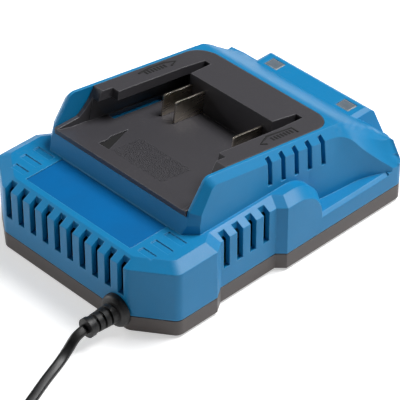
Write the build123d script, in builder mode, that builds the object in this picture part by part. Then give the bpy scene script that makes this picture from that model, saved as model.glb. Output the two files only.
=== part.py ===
from build123d import *
import os
from math import cos, hypot, pi, radians, sin, tan

os.makedirs("parts", exist_ok=True)

# Bench charger for slide-on tool batteries. Millimetres, +Z up, floor at z = 0, the battery
# mouth faces -Y and the origin is in the middle of the footprint.

# ---------------------------------------------------------------- case, outside
half_width = 56.0
half_length = 78.5
corner_x = 17.7  # corner chamfer of the plan, measured along X
corner_y = 12.6  # and along Y, at the front
rear_corner_y = 10.6
corner_round = 4.5
waist_depth = 3.6  # the sides step in between the two cheeks
waist_front_y = -44.2
waist_run = 5.4  # the front step slants over this much of Y
waist_rear_y = -6.6
foot_gap = 0.6  # the base floats this far above the table, on its feet
seam_z = 8.8
seam_gap = 0.35
deck_z = 36.2
bevel_in = 5.4
bevel_down = 3.0
wall = 2.5
fit = 0.15  # clearance between moulded parts that slip into each other

# ---------------------------------------------------------------- cheeks and side shelves
shelf_z = 18.2
shelf_bevel_in = 1.7
shelf_bevel_down = 1.2
cheek_inner_y = 4.0  # centre of the cheek's rear arc at the bevel's inner edge
cheek_outer_y = 3.0  # and at its outer edge

# ---------------------------------------------------------------- raised cradle housing
cradle_z = 53.61  # height of the sloping rim plane at Y = 0
cradle_fall = 0.1581  # the rim falls this much per millimetre to the rear
rim_half = 41.7
rim_bevel_in = 3.2
rim_bevel_down = 3.0
tower_draft = 3.0
tower_half = 47.0  # half width at the level tower_base_z
tower_base_z = 12.0
tower_front_y = -49.6
tower_front_top = (-46.5, 43.9)  # Y and Z of the front wall's top edge
wing_front_z = 46.3
wing_top_y = -36.6
tower_corner = 91.6  # X - Y of the chamfered front corners at tower_base_z
shoulder_front_y = 20.0
shoulder_lap = 4.0  # the tower runs on into the shoulders, past the draft of its rear end
shoulder_rear_y = 72.0
shoulder_end_y = 76.5
corner_shelf_z = 20.0
shelf_front_y = 66.5

# ---------------------------------------------------------------- lamp block at the rear
lamp_z = 33.0
lamp_front_y = 60.0
lamp_top_half = 28.8
lamp_bevel_half = 31.0
lamp_bevel_down = 1.3
lamp_foot_half = 35.5
lamp_foot_z = 20.0
lamp_rear_y = 76.2  # the rear face leans in to here
lamp_rear_z = 30.6
lamp_edge_y = 73.1
lamp_x = 22.0
lamp_y = 68.3
lamp_length = 7.6
lamp_width = 6.1
lamp_roof = 3.2
led_board_half = 27.0
led_board_width = 10.0
led_r = 1.9
lamp_board_z = 24.2
lamp_post_x = 10.0
lamp_post_r = 2.6
lamp_screw_r = 1.0
lamp_screw_length = 4.6

# ---------------------------------------------------------------- vents
vent_width = 3.7
vent_pitch = 7.7
front_vents = 10
front_vent_end_y = -74.3
vent_sill_z = 18.3
side_vents = 4
side_vent_y = -35.4
side_vent_width = 3.5
side_vent_pitch = 7.73
side_vent_end_x = 48.7
tower_slots = 5
tower_slot_y = -3.3
tower_slot_pitch = 7.87
tower_slot_width = 2.6
tower_slot_top_z = 52.9  # at the first slot; the tops follow the rim
tower_slot_sill_z = 39.6
tower_slot_sill_fall = 0.165
tower_slot_x = 41.9  # how far in the slots reach

# ---------------------------------------------------------------- label and deck marks
label_half = 32.05
label_front_y = -70.2
label_rear_y = -50.1
label_depth = 0.8
label_thick = 0.6
dash_depth = 0.45
dash_y = (-53.1, -60.5, -67.65)
dash_width = 3.2
dash_x = (35.3, 45.6)
short_dash_x = (35.3, 43.2)

# ---------------------------------------------------------------- battery cradle
insert_half = 40.05
insert_gap = 0.3
insert_rear_y = 40.6
insert_corner = 10.0
insert_depth = 15.4
insert_floor = 2.0
lip_y = -47.0
lip_z = 46.5
lip_crease_y = -38.7
bay_half = 30.43
bay_rear_y = 18.7
rail_ledge = 4.6
channel_half = 37.8
rail_front_y = -25.5
rail_notch_y = -18.5
rail_notch_half = 34.4
rail_leadin_half = 38.2
rail_leadin_y = -29.3
key_front_half = 24.8
key_rear_half = 26.0
key_slot_outer = 29.8
key_slot_rear_y = 32.0
core_out_x = (33.2, 37.2)
core_out_y = (-19.2, 11.6)
arrow_depth = 1.1
arrow_outline = [(-21.7, -38.5), (-15.3, -38.5), (-23.1, -20.1), (-23.0, -30.3), (-21.8, -33.4)]
lip_ramp = 0.289  # rise of the lip per millimetre towards the mouth
ledge_thick = 2.5
ledge_half = 33.0
ledge_front_y = -37.0
pocket_front_y = -44.2  # at the pocket's bottom
ledge_rear_y = 30.0

# ---------------------------------------------------------------- contacts
blade_x = (-23.45, -15.85, 19.3)
blade_thick = 0.8
blade_front_y = 1.1
blade_top = 4.8  # below the rim plane
blade_lift = 0.2
blade_slot_gap = 0.1
blade_root_y = 24.6
blade_leg_y = 19.8
blade_leg_drop = 25.0
tab_width = 3.0
tab_drop = 28.5
key_wall = 2.0
key_roof = 2.6
key_hollow_x = (-13.5, 17.0)
key_hollow_rear_y = 36.0
holder_x = (-28.0, 26.0)
holder_y = (15.5, 28.5)
holder_thick = 4.5
holder_screw_xy = ((-19.65, 22.2), (22.3, 22.2))
holder_screw_length = 8.0

# ---------------------------------------------------------------- screws and bosses
screw_r = 1.45
pilot_gap = 0.05
screw_play = 0.2
screw_head_r = 3.0
screw_head = 2.0
boss_r = 3.6
case_screw_xy = ((42.0, -61.0), (46.5, 58.5))
case_screw_length = 12.0
case_head_z = 3.4
board_screw_xy = ((40.0, -50.0), (40.0, 48.0))
board_screw_length = 8.0
small_head_r = 2.4
small_head = 1.5
insert_screw_xy = ((30.0, 35.5), (36.0, -41.6))
insert_screw_bite = 1.6
small_screw_r = 1.0
boss_meet_z = 11.2
base_boss_r = 4.8

# ---------------------------------------------------------------- circuit board
board_z = 11.6
board_thick = 1.6
board_half = 45.5
board_front_y = -55.0
board_rear_y = 52.0
part_gap = 0.05  # solder height between a component and its board

wire_r = 0.9
mains_wire_r = 1.0
ribbon_half = 4.0

# ---------------------------------------------------------------- feet and floor slots
foot_r = 4.5
foot_sink = 1.0
foot_xy = (30.0, 66.0)
floor_slots = 9
floor_slot_pitch = 7.0
floor_slot_rows = 44.0
floor_slot_length = 26.0
floor_slot_width = 3.0

# ---------------------------------------------------------------- mains lead
lead_x = 33.0
lead_z = 9.5
lead_r = 1.9  # plain tube with about the section of the flat twin cord
gland_r = 5.5
gland_flange_r = 7.5
gland_dome = 2.4  # rounding of the flange's front
gland_inner_r = 6.1
gland_inner_y = -half_length + 5.5
gland_flange_y = -half_length - 3.7
gland_root_r = 4.7
gland_tip_r = 3.9
gland_ring_r = 4.4  # the bead round the mouth
gland_ring = 2.2
gland_tip_y = -half_length - 17.8
gland_slots = 3
gland_slot_y = -half_length - 6.9
gland_slot_pitch = 3.3
gland_slot_width = 1.1
gland_core_r = 2.9
gland_rib = 1.6
gland_web_r = 3.5  # the webs between the slots stay below the ribs
cord_width = 4.8  # width of the flat twin cord, and the pitch of the coil's columns
coil_y = -184.0
coil_turn_r = 26.4
coil_columns = 3
coil_foot = 0.5  # the tie passes under the coil
coil_height = 9.0
coil_joint_y = -178.0  # the lead runs into the outer turn here
coil_joint_x = 14.0  # and leaves it here, at the front
coil_entry_x = 52.8
lead_floor_z = 2.0
tie_angle = 160.0
tie_length = 4.0
tie_thick = 0.4
tie_gap = 0.05
plug_half_width = 17.65
plug_half_thick = 6.85
plug_tail_r = 3.4
plug_neck_r = 5.2
plug_tail_x = 1.0
plug_neck = 12.0  # from the tail
plug_shoulder = 21.0
plug_length = 42.0
pin_r = 2.0
pin_length = 19.0
pin_shank_r = 1.5
pin_sleeve_r = 1.8
pin_sleeve = 10.0
pin_socket = 6.0
pin_half_pitch = 9.3

# Each point is a corner of the lead's route; the arcs between them are worked out below.
lead_route = [
    (33.0, -96.4, 9.5),
    (33.0, -101.2, 9.3),
    (33.2, -106.3, 4.6),
    (34.6, -112.4, lead_floor_z),
    (38.0, -122.0, lead_floor_z),
    (43.5, -135.0, lead_floor_z),
    (49.3, -149.5, lead_floor_z),
    (coil_entry_x, -160.5, lead_floor_z),
    (coil_entry_x, coil_joint_y, lead_floor_z),
]

rim_stretch = hypot(cradle_fall, 1.0)  # length along the rim per millimetre of Y
cradle = Plane(origin=(0, 0, cradle_z), x_dir=(1, 0, 0), z_dir=(0, cradle_fall, 1))
case_bottom_z = foot_gap
housing_z = seam_z + seam_gap
wall_top_z = deck_z - bevel_down
bevel_x = half_width - bevel_in
insert_under = insert_depth + insert_floor
pocket_floor = insert_under + 0.1
ledge_under = pocket_floor + ledge_thick


def rim_height(y, below=0.0):
    """Height of the plane that lies `below` under the rim plane, at y."""
    return cradle_z - cradle_fall * y - below * rim_stretch


def along(y, below=0.0):
    """Distance along the rim plane of the upright line through a point at y, `below` under it."""
    return y * rim_stretch + below * cradle_fall


def both_sides(points):
    """A right-hand half outline and its mirror image, as one closed loop."""
    return points + [(-x, y) for x, y in reversed(points)]


def inset(points, distance):
    """A counter-clockwise polygon moved inwards by `distance`, corner for corner."""
    moved = []
    count = len(points)
    for i in range(count):
        before, here, after = points[i - 1], points[i], points[(i + 1) % count]
        ax, ay = here[0] - before[0], here[1] - before[1]
        bx, by = after[0] - here[0], after[1] - here[1]
        al, bl = hypot(ax, ay), hypot(bx, by)
        ax, ay, bx, by = ax / al, ay / al, bx / bl, by / bl
        turn = ax * by - ay * bx
        px, py = here[0] - ay * distance, here[1] + ax * distance
        qx, qy = here[0] - by * distance, here[1] + bx * distance
        step = ((qx - px) * by - (qy - py) * bx) / turn
        moved.append((px + step * ax, py + step * ay))
    return moved


case_outline = both_sides(
    [
        (half_width - corner_x, -half_length),
        (half_width, -half_length + corner_y),
        (half_width, waist_front_y),
        (half_width - waist_depth, waist_front_y + waist_run),
        (half_width - waist_depth, waist_rear_y),
        (half_width, waist_rear_y + waist_depth),
        (half_width, half_length - rear_corner_y),
        (half_width - corner_x, half_length),
    ]
)


def case_sketch(distance=0.0, round_corners=corner_round):
    """The case's plan, moved inwards by `distance`, with its eight outer corners rounded."""
    with BuildSketch() as plan:
        with BuildLine():
            Polyline(*inset(case_outline, distance), close=True)
        make_face()
        outer = plan.vertices().filter_by(lambda v: abs(v.Y) > half_length - corner_y - distance - 1)
        fillet(outer, round_corners)
    return plan.sketch


def polygon_sketch(points):
    """A plain closed polygon."""
    with BuildSketch() as shape:
        with BuildLine():
            Polyline(*points, close=True)
        make_face()
    return shape.sketch


# ================================================================ upper housing
def cheek_relief_profile(centre_y, radius):
    """Area above the shelf and behind the cheek's rear arc, in the YZ plane."""
    with BuildSketch() as profile:
        with BuildLine():
            RadiusArc((centre_y + radius, shelf_z), (centre_y, shelf_z + radius), -radius)
            Line((centre_y, shelf_z + radius), (centre_y, deck_z + 6))
            Line((centre_y, deck_z + 6), (half_length + 10, deck_z + 6))
            Line((half_length + 10, deck_z + 6), (half_length + 10, shelf_z))
            Line((half_length + 10, shelf_z), (centre_y + radius, shelf_z))
        make_face()
    return profile.sketch


cheek_r = deck_z - shelf_z
relief_over = 1.0 + 1.0 / bevel_in  # the outer profile stands 1 mm outside the case
with BuildPart() as cheek_relief:
    with BuildSketch(Plane.YZ.offset(bevel_x - 12)):
        add(cheek_relief_profile(cheek_inner_y, cheek_r))
    extrude(amount=12)
    with BuildSketch(Plane.YZ.offset(bevel_x)):
        add(cheek_relief_profile(cheek_inner_y, cheek_r))
    with BuildSketch(Plane.YZ.offset(half_width + 1)):
        add(
            cheek_relief_profile(
                cheek_inner_y - (cheek_inner_y - cheek_outer_y) * relief_over,
                cheek_r - bevel_down * relief_over,
            )
        )
    loft(ruled=True)
    mirror(about=Plane.YZ)

with BuildPart() as deck_tier:
    with BuildSketch(Plane.XY.offset(housing_z)):
        add(case_sketch())
    extrude(amount=wall_top_z - housing_z)
    with BuildSketch(Plane.XY.offset(wall_top_z)):
        add(case_sketch())
    with BuildSketch(Plane.XY.offset(deck_z)):
        add(case_sketch(bevel_in))
    loft(ruled=True)
    add(cheek_relief.part, mode=Mode.SUBTRACT)
    # everything between the cheeks behind the deck is rebuilt by the tower and the shoulders
    with BuildSketch(Plane.XY.offset(shelf_z)):
        with Locations((0, cheek_inner_y + 50 + 6)):
            Rectangle(2 * (bevel_x - 11), 100)
    extrude(amount=deck_z, mode=Mode.SUBTRACT)

tower_profile = [
    (tower_front_y, tower_base_z),
    (70.0, tower_base_z),
    (70.0, rim_height(70.0)),
    (wing_top_y, rim_height(wing_top_y)),
    (tower_front_top[0] + 0.3, wing_front_z),
    tower_front_top,
    (tower_front_y, deck_z),
]


def tower_sketch(distance):
    """The tower's side view, moved inwards by `distance`, with its front top corner eased."""
    with BuildSketch() as view:
        with BuildLine():
            Polyline(*inset(tower_profile, distance), close=True)
        make_face()
        crown = view.vertices().sort_by(Axis.Y)[-1]
        fillet(crown, 4.0)
    return view.sketch


tower_side = rim_bevel_in * 1.7  # the bevel runs on past the drafted wall, which trims it
with BuildPart() as tower:
    with BuildSketch(Plane.YZ.offset(-rim_half)):
        add(tower_sketch(0.0))
    extrude(amount=2 * rim_half)
    with BuildSketch(Plane.YZ.offset(rim_half)):
        add(tower_sketch(0.0))
    with BuildSketch(Plane.YZ.offset(rim_half + tower_side)):
        add(tower_sketch(rim_bevel_down * 1.7))
    loft(ruled=True)
    mirror(about=Plane.YZ)
    with BuildSketch(Plane.XY.offset(tower_base_z)):
        with BuildLine():
            Polyline(
                *both_sides(
                    [
                        (tower_corner - 56.0, -56.0),
                        (tower_half, tower_half - tower_corner),
                        (tower_half, shoulder_front_y + shoulder_lap),
                    ]
                ),
                close=True,
            )
        make_face()
    extrude(amount=60, taper=tower_draft, mode=Mode.INTERSECT)

# Behind the cheeks the tower's bevelled rim runs out into shoulders that flare to the rear
# corners of the case and fall to the rear shelf. Each row: Y, ridge half width, ridge height,
# slope down to the knee, how far the knee lies in from the side, slope outside it.
straight_shoulder = [
    (shoulder_front_y, rim_half, rim_height(shoulder_front_y), 0.94, 11.5, 0.94),
    (38.0, rim_half, rim_height(38.0), 0.92, 11.5, 0.92),
]
curved_shoulder = [
    straight_shoulder[-1],
    (40.4, 41.7, 47.15, 0.905, 11.47, 0.95),
    (43.0, 41.6, 46.5, 0.89, 11.4, 1.0),
    (48.0, 40.9, 43.6, 0.86, 11.1, 1.12),
    (53.0, 40.5, 40.1, 0.80, 10.6, 1.14),
    (58.0, 40.5, 36.6, 0.66, 9.7, 1.17),
    (61.5, 40.8, 34.3, 0.50, 8.7, 1.25),
    (64.8, 41.3, 32.0, 0.31, 7.5, 1.42),
    (68.5, 42.0, 29.4, 0.09, 6.0, 1.7),
]
falling_shoulder = [
    curved_shoulder[-1],
    (shoulder_rear_y, 42.0, 25.6, 0.08, 9.8, 1.4),
    (shoulder_end_y, 42.0, corner_shelf_z + 0.4, 0.05, 12.5, 0.6),
]


def shoulder_section(ridge_x, ridge_z, slope, knee_in, knee_slope):
    """A cross-section of the rear of the tower in the XZ plane, run out past the case's side."""
    outer_x = half_width + 2
    knee_x = half_width - knee_in
    knee_z = ridge_z - slope * (knee_x - ridge_x)
    outer_z = knee_z - knee_slope * (outer_x - knee_x)
    foot_z = min(tower_base_z - 4, outer_z - 0.5)
    return both_sides([(outer_x, foot_z), (outer_x, outer_z), (knee_x, knee_z), (ridge_x, ridge_z)])


def scoop_plan(points):
    """The area outside a side scoop's wall, closed well outside the case."""
    with BuildSketch() as plan:
        with BuildLine():
            wall_line = Spline(*points)
            far_x = half_width + 9
            Polyline(wall_line @ 1, (far_x, points[-1][1]), (far_x, points[0][1]), wall_line @ 0)
        make_face()
    return plan.sketch


scoop_foot = [(46.7, 19.9), (48.0, 29.0), (48.9, 38.0), (49.8, 46.5), (52.0, 54.0), (57.0, 63.6)]
scoop_head = [(45.0, 19.9), (44.9, 29.0), (45.1, 38.0), (48.2, 46.5), (51.3, 54.0), (56.4, 63.6)]
scoop_head_z = 50.0
with BuildPart() as scoops:
    with BuildSketch(Plane.XY.offset(shelf_z)):
        add(scoop_plan(scoop_foot))
    with BuildSketch(Plane.XY.offset(scoop_head_z)):
        add(scoop_plan(scoop_head))
    loft(ruled=True)
    mirror(about=Plane.YZ)

with BuildPart() as shoulders:
    for rows, straight in ((straight_shoulder, True), (curved_shoulder, False), (falling_shoulder, True)):
        for y, *row in rows:
            with BuildSketch(Plane.XZ.offset(-y)):
                add(polygon_sketch(shoulder_section(*row)))
        loft(ruled=straight)
    with BuildSketch(Plane.XY.offset(tower_base_z)):
        add(case_sketch())
    extrude(amount=60, mode=Mode.INTERSECT)
    add(scoops.part, mode=Mode.SUBTRACT)

with BuildPart() as lamp_block:
    with BuildSketch(Plane.XZ.offset(-lamp_front_y)):
        with BuildLine():
            Polyline(
                *both_sides(
                    [
                        (lamp_foot_half, lamp_foot_z),
                        (lamp_bevel_half, lamp_z - lamp_bevel_down),
                        (lamp_top_half, lamp_z),
                    ]
                ),
                close=True,
            )
        make_face()
    extrude(amount=-(half_length - lamp_front_y))
    with BuildSketch(Plane.YZ):
        with BuildLine():
            Polyline(
                (lamp_edge_y, lamp_z),
                (lamp_rear_y, lamp_rear_z),
                (half_length, lamp_foot_z),
                (half_length + 1, lamp_foot_z),
                (half_length + 1, lamp_z + 1),
                (lamp_edge_y, lamp_z + 1),
                close=True,
            )
        make_face()
    extrude(amount=lamp_foot_half + 1, both=True, mode=Mode.SUBTRACT)


with BuildPart() as corner_shelf:
    with BuildSketch(Plane.XY.offset(housing_z)):
        add(case_sketch())
    extrude(amount=corner_shelf_z - housing_z)
    with BuildSketch(Plane.XY.offset(housing_z)):
        with Locations((0, shelf_front_y + half_length / 2)):
            Rectangle(2 * half_width + 10, half_length)
    extrude(amount=corner_shelf_z, mode=Mode.INTERSECT)


def side_wedge(inner_x, inner_z, outer_x, outer_z, front_y, rear_y):
    """A prism above a sloping edge bevel that runs along Y, for both sides of the case."""
    with BuildPart() as wedge:
        with BuildSketch(Plane.XZ.offset(-front_y)):
            with BuildLine():
                Polyline(
                    (inner_x, inner_z),
                    (outer_x + 1, outer_z - (inner_z - outer_z) / (outer_x - inner_x)),
                    (outer_x + 1, inner_z + 0.5),
                    (inner_x, inner_z + 0.5),
                    close=True,
                )
            make_face()
        extrude(amount=-(rear_y - front_y))
        mirror(about=Plane.YZ)
    return wedge.part


def below_line(points, half):
    """A prism under a side view outline, `half` wide each way."""
    with BuildPart() as prism:
        with BuildSketch(Plane.YZ):
            with BuildLine():
                Polyline(*points, close=True)
            make_face()
        extrude(amount=half, both=True)
    return prism.part


inner_top_z = wall_top_z - 2.2
cavity_front_y = -45.5
rear_cavity_z = 43.0
with BuildPart() as case_cavity:
    # low all round, up to the underside of the side shelves
    with BuildSketch(Plane.XY.offset(housing_z - 1)):
        add(case_sketch(wall, corner_round - 1))
    extrude(amount=shelf_z - wall - housing_z + 1)
with BuildPart() as deck_cavity:
    with BuildSketch(Plane.XY.offset(housing_z)):
        add(case_sketch(wall, corner_round - 1))
    extrude(amount=inner_top_z - housing_z)
    with BuildSketch(Plane.XY.offset(inner_top_z)):
        add(case_sketch(wall, corner_round - 1))
    with BuildSketch(Plane.XY.offset(deck_z - wall)):
        add(case_sketch(wall + 4.6, corner_round - 1))
    loft(ruled=True)
    with BuildSketch(Plane.XY):
        with Locations((0, cheek_outer_y - wall - half_length)):
            Rectangle(2 * half_width, 2 * half_length)
    extrude(amount=deck_z, mode=Mode.INTERSECT)
tower_cavity = below_line(
    [
        (cavity_front_y, housing_z),
        (insert_rear_y, housing_z),
        (insert_rear_y, rim_height(insert_rear_y, ledge_under)),
        (cavity_front_y, rim_height(cavity_front_y, ledge_under)),
    ],
    tower_half - wall - 1.6,
)
lamp_cavity = below_line(
    [
        (insert_rear_y - 1, housing_z),
        (half_length - wall, housing_z),
        (half_length - wall, lamp_foot_z - wall),
        (lamp_rear_y - wall, lamp_z - lamp_roof),
        (63.0, lamp_z - lamp_roof),
        (insert_rear_y + wall, rear_cavity_z),
        (insert_rear_y + wall, rim_height(insert_rear_y, ledge_under)),
        (insert_rear_y - 1, rim_height(insert_rear_y, ledge_under)),
    ],
    lamp_top_half - 0.4,
)


def box_at(x0, x1, y0, y1, z0, z1):
    """A plain block between two corners."""
    with BuildPart() as block:
        with BuildSketch(Plane.XY.offset(z0)):
            with Locations(((x0 + x1) / 2, (y0 + y1) / 2)):
                Rectangle(x1 - x0, y1 - y0)
        extrude(amount=z1 - z0)
    return block.part


def drum(x, y, z, radius, height):
    """An upright cylinder standing at height z."""
    with BuildPart() as cylinder:
        with BuildSketch(Plane.XY.offset(z)):
            with Locations((x, y)):
                Circle(radius)
        extrude(amount=height)
    return cylinder.part


def corners_of(places):
    """The places on the right and their mirror images on the left."""
    return [(side * x, y) for x, y in places for side in (1, -1)]


with BuildPart() as gland_hole:
    with BuildSketch(Plane.XZ.offset(half_length + 2)):
        with Locations((lead_x, lead_z)):
            Circle(gland_r + fit)
    extrude(amount=-(wall + 6))
    with BuildSketch(Plane.XZ.offset(half_length - wall)):
        with Locations((lead_x, lead_z)):
            Circle(gland_inner_r + fit)
    extrude(amount=-4)

insert_screw_places = [(x, along(y, insert_under)) for x, y in corners_of(insert_screw_xy)]
holder_screw_places = [(x, along(y)) for x, y in holder_screw_xy]

lamp_hole_x = lamp_length / 2 + fit / 2
lamp_hole_y = lamp_width / 2 + fit / 2
pocket_half = insert_half + insert_gap
with BuildPart() as upper_housing:
    # ---- outside
    add(deck_tier.part)
    add(tower.part)
    add(shoulders.part)
    add(lamp_block.part)
    add(corner_shelf.part)
    shelf_wedge = side_wedge(
        half_width - shelf_bevel_in,
        shelf_z,
        half_width,
        shelf_z - shelf_bevel_down,
        cheek_outer_y + cheek_r - bevel_down,
        59.6,
    )
    add(shelf_wedge, mode=Mode.SUBTRACT)
    # ---- inside
    add(case_cavity.part, mode=Mode.SUBTRACT)
    add(deck_cavity.part, mode=Mode.SUBTRACT)
    add(tower_cavity, mode=Mode.SUBTRACT)
    add(lamp_cavity, mode=Mode.SUBTRACT)
    # ---- pocket, ledge and opening for the battery cradle
    with BuildSketch(cradle.offset(8)) as pocket:
        with BuildLine():
            Polyline(
                *both_sides(
                    [
                        (pocket_half, along(pocket_front_y, pocket_floor)),
                        (pocket_half, along(insert_rear_y)),
                    ]
                ),
                close=True,
            )
        make_face()
        fillet(pocket.vertices().group_by(Axis.Y)[-1], insert_corner + insert_gap)
    extrude(amount=-(8 + pocket_floor), mode=Mode.SUBTRACT)
    gate_rear_y = pocket_front_y + cradle_fall * pocket_floor + 1
    front_gate = box_at(-pocket_half, pocket_half, -52.0, gate_rear_y, tower_front_top[1], cradle_z + 12)
    add(front_gate, mode=Mode.SUBTRACT)
    with BuildSketch(cradle.offset(-(insert_under - 1))):
        with Locations((0, along((ledge_front_y + ledge_rear_y) / 2, insert_under))):
            Rectangle(2 * ledge_half, along(ledge_rear_y - ledge_front_y))
    extrude(amount=-(ledge_thick + 4), mode=Mode.SUBTRACT)
    with BuildSketch(cradle.offset(-(insert_under - 1))):
        with Locations(*insert_screw_places):
            Circle(screw_r + screw_play)
    extrude(amount=-(ledge_thick + 2), mode=Mode.SUBTRACT)
    # ---- vents
    vent_rise = deck_z + 2 - vent_sill_z
    with Locations((0, (front_vent_end_y - half_length - 2) / 2, vent_sill_z + vent_rise / 2)):
        with GridLocations(vent_pitch, 1, front_vents, 1):
            Box(vent_width, half_length + 2 + front_vent_end_y, vent_rise, mode=Mode.SUBTRACT)
    side_reach = half_width + 2 - side_vent_end_x
    for i in range(side_vents):
        for side in (1, -1):
            with Locations(
                (
                    side * (side_vent_end_x + side_reach / 2),
                    side_vent_y + i * side_vent_pitch,
                    vent_sill_z + vent_rise / 2,
                )
            ):
                Box(side_reach, side_vent_width, vent_rise, mode=Mode.SUBTRACT)
    for i in range(tower_slots):
        slot_y = tower_slot_y + i * tower_slot_pitch
        slot_top = tower_slot_top_z - cradle_fall * i * tower_slot_pitch
        slot_sill = tower_slot_sill_z - tower_slot_sill_fall * i * tower_slot_pitch
        for side in (1, -1):
            with BuildSketch(Plane.YZ.offset(side * tower_slot_x)):
                with Locations((slot_y, (slot_sill + slot_top) / 2)):
                    Rectangle(tower_slot_width, slot_top - slot_sill)
            extrude(amount=side * 12, mode=Mode.SUBTRACT)
    # ---- label recess and the raised deck's marks
    with BuildSketch(Plane.XY.offset(deck_z - label_depth)):
        with Locations((0, (label_front_y + label_rear_y) / 2)):
            Rectangle(2 * (label_half + fit), label_rear_y - label_front_y + 2 * fit)
    extrude(amount=label_depth + 1, mode=Mode.SUBTRACT)
    for dash_centre, ends in zip(dash_y, (dash_x, dash_x, short_dash_x)):
        for side in (1, -1):
            with BuildSketch(Plane.XY.offset(deck_z - dash_depth)):
                with Locations((side * (ends[0] + ends[1]) / 2, dash_centre)):
                    Rectangle(ends[1] - ends[0], dash_width)
            extrude(amount=dash_depth + 1, mode=Mode.SUBTRACT)
    # ---- lamp windows and the lead's gland
    with BuildSketch(Plane.XY.offset(lamp_z - lamp_roof - 1)):
        with Locations((lamp_x, lamp_y), (-lamp_x, lamp_y)):
            Rectangle(2 * lamp_hole_x, 2 * lamp_hole_y)
    extrude(amount=lamp_roof + 2, mode=Mode.SUBTRACT)
    add(gland_hole.part, mode=Mode.SUBTRACT)
    # ---- screw bosses, each run into the shell above it
    for (boss_x, boss_y), boss_top in zip(case_screw_xy, (deck_z - 2, shelf_z - 1)):
        for side in (1, -1):
            add(drum(side * boss_x, boss_y, boss_meet_z, boss_r, boss_top - boss_meet_z))
    with BuildSketch(Plane.XY.offset(boss_meet_z)):
        with Locations(*corners_of(case_screw_xy)):
            Circle(screw_r + pilot_gap)
    extrude(amount=case_screw_length - (boss_meet_z - case_head_z) + 0.5, mode=Mode.SUBTRACT)
    for side in (1, -1):
        add(drum(side * lamp_post_x, lamp_y, lamp_board_z + board_thick, lamp_post_r, 5.5))
    with BuildSketch(Plane.XY.offset(lamp_board_z + board_thick)):
        with Locations((lamp_post_x, lamp_y), (-lamp_post_x, lamp_y)):
            Circle(lamp_screw_r + pilot_gap)
    extrude(amount=lamp_screw_length - board_thick + 0.5, mode=Mode.SUBTRACT)

# ================================================================ base tray
tongue_in = wall + fit
tongue_thick = 1.4
tongue_top_z = seam_z + 1.8
floor_top_z = case_bottom_z + wall
head_bore_r = screw_head_r + 0.3
with BuildPart() as base_tray:
    with BuildSketch(Plane.XY.offset(case_bottom_z)):
        add(case_sketch())
    extrude(amount=seam_z - case_bottom_z)
    chamfer(base_tray.faces().sort_by(Axis.Z)[0].edges(), 0.8)
    with BuildSketch(Plane.XY.offset(floor_top_z)):
        add(case_sketch(wall, corner_round - 1))
    extrude(amount=seam_z, mode=Mode.SUBTRACT)
    # a tongue stands up inside the housing's wall
    with BuildSketch(Plane.XY.offset(floor_top_z)):
        add(case_sketch(wall - 0.3, corner_round - 1))
        add(case_sketch(tongue_in + tongue_thick, corner_round - 2), mode=Mode.SUBTRACT)
    extrude(amount=seam_z - floor_top_z)
    with BuildSketch(Plane.XY.offset(seam_z)):
        add(case_sketch(tongue_in, corner_round - 1))
        add(case_sketch(tongue_in + tongue_thick, corner_round - 2), mode=Mode.SUBTRACT)
    extrude(amount=tongue_top_z - seam_z)
    # bosses for the case screws and the circuit board
    for place in corners_of(case_screw_xy):
        add(drum(*place, floor_top_z, base_boss_r, boss_meet_z - floor_top_z))
    for place in corners_of(board_screw_xy):
        add(drum(*place, floor_top_z, boss_r, board_z - floor_top_z))
    with BuildSketch(Plane.XY.offset(case_bottom_z - 1)):
        with Locations(*corners_of(case_screw_xy)):
            Circle(head_bore_r)
    extrude(amount=case_head_z + screw_head - case_bottom_z + 1, mode=Mode.SUBTRACT)
    with BuildSketch(Plane.XY.offset(case_bottom_z)):
        with Locations(*corners_of(case_screw_xy)):
            Circle(screw_r + screw_play)
    extrude(amount=boss_meet_z, mode=Mode.SUBTRACT)
    with BuildSketch(Plane.XY.offset(board_z - board_screw_length + board_thick - 0.4)):
        with Locations(*corners_of(board_screw_xy)):
            Circle(screw_r + pilot_gap)
    extrude(amount=board_screw_length, mode=Mode.SUBTRACT)
    # recesses for the feet, and cooling slots in the floor
    with BuildSketch(Plane.XY.offset(case_bottom_z - 1)):
        with Locations(*corners_of([foot_xy, (foot_xy[0], -foot_xy[1])])):
            Circle(foot_r + fit)
    extrude(amount=foot_sink + 1, mode=Mode.SUBTRACT)
    with BuildSketch(Plane.XY.offset(case_bottom_z - 1)):
        with GridLocations(floor_slot_pitch, floor_slot_rows, floor_slots, 2):
            SlotOverall(floor_slot_length, floor_slot_width, rotation=90)
    extrude(amount=wall + 2, mode=Mode.SUBTRACT)
    add(gland_hole.part, mode=Mode.SUBTRACT)

# ================================================================ label plate and lamp windows
with BuildPart() as label_plate:
    with BuildSketch(Plane.XY.offset(deck_z - label_depth)):
        with Locations((0, (label_front_y + label_rear_y) / 2)):
            RectangleRounded(2 * label_half, label_rear_y - label_front_y, 0.4)
    extrude(amount=label_thick)

lamp_flange_z = lamp_z - lamp_roof - fit - 1.0


def lamp_window(side):
    """A clear light guide with a retaining flange under the roof of the lamp block."""
    with BuildPart() as window:
        with BuildSketch(Plane.XY.offset(lamp_flange_z)):
            with Locations((side * lamp_x, lamp_y)):
                Rectangle(lamp_length, lamp_width)
        extrude(amount=lamp_z - lamp_flange_z)
        chamfer(window.faces().sort_by(Axis.Z)[-1].edges(), 0.3)
        with BuildSketch(Plane.XY.offset(lamp_flange_z)):
            with Locations((side * lamp_x, lamp_y)):
                Rectangle(lamp_length + 2, lamp_width + 2)
        extrude(amount=1.0)
    return window


led_window_right = lamp_window(1)
led_window_left = lamp_window(-1)

with BuildPart() as led_board:
    with BuildSketch(Plane.XY.offset(lamp_board_z)):
        with Locations((0, lamp_y)):
            RectangleRounded(2 * led_board_half, led_board_width, 1.0)
        with Locations((lamp_post_x, lamp_y), (-lamp_post_x, lamp_y)):
            Circle(lamp_screw_r + screw_play, mode=Mode.SUBTRACT)
    extrude(amount=board_thick)

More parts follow.
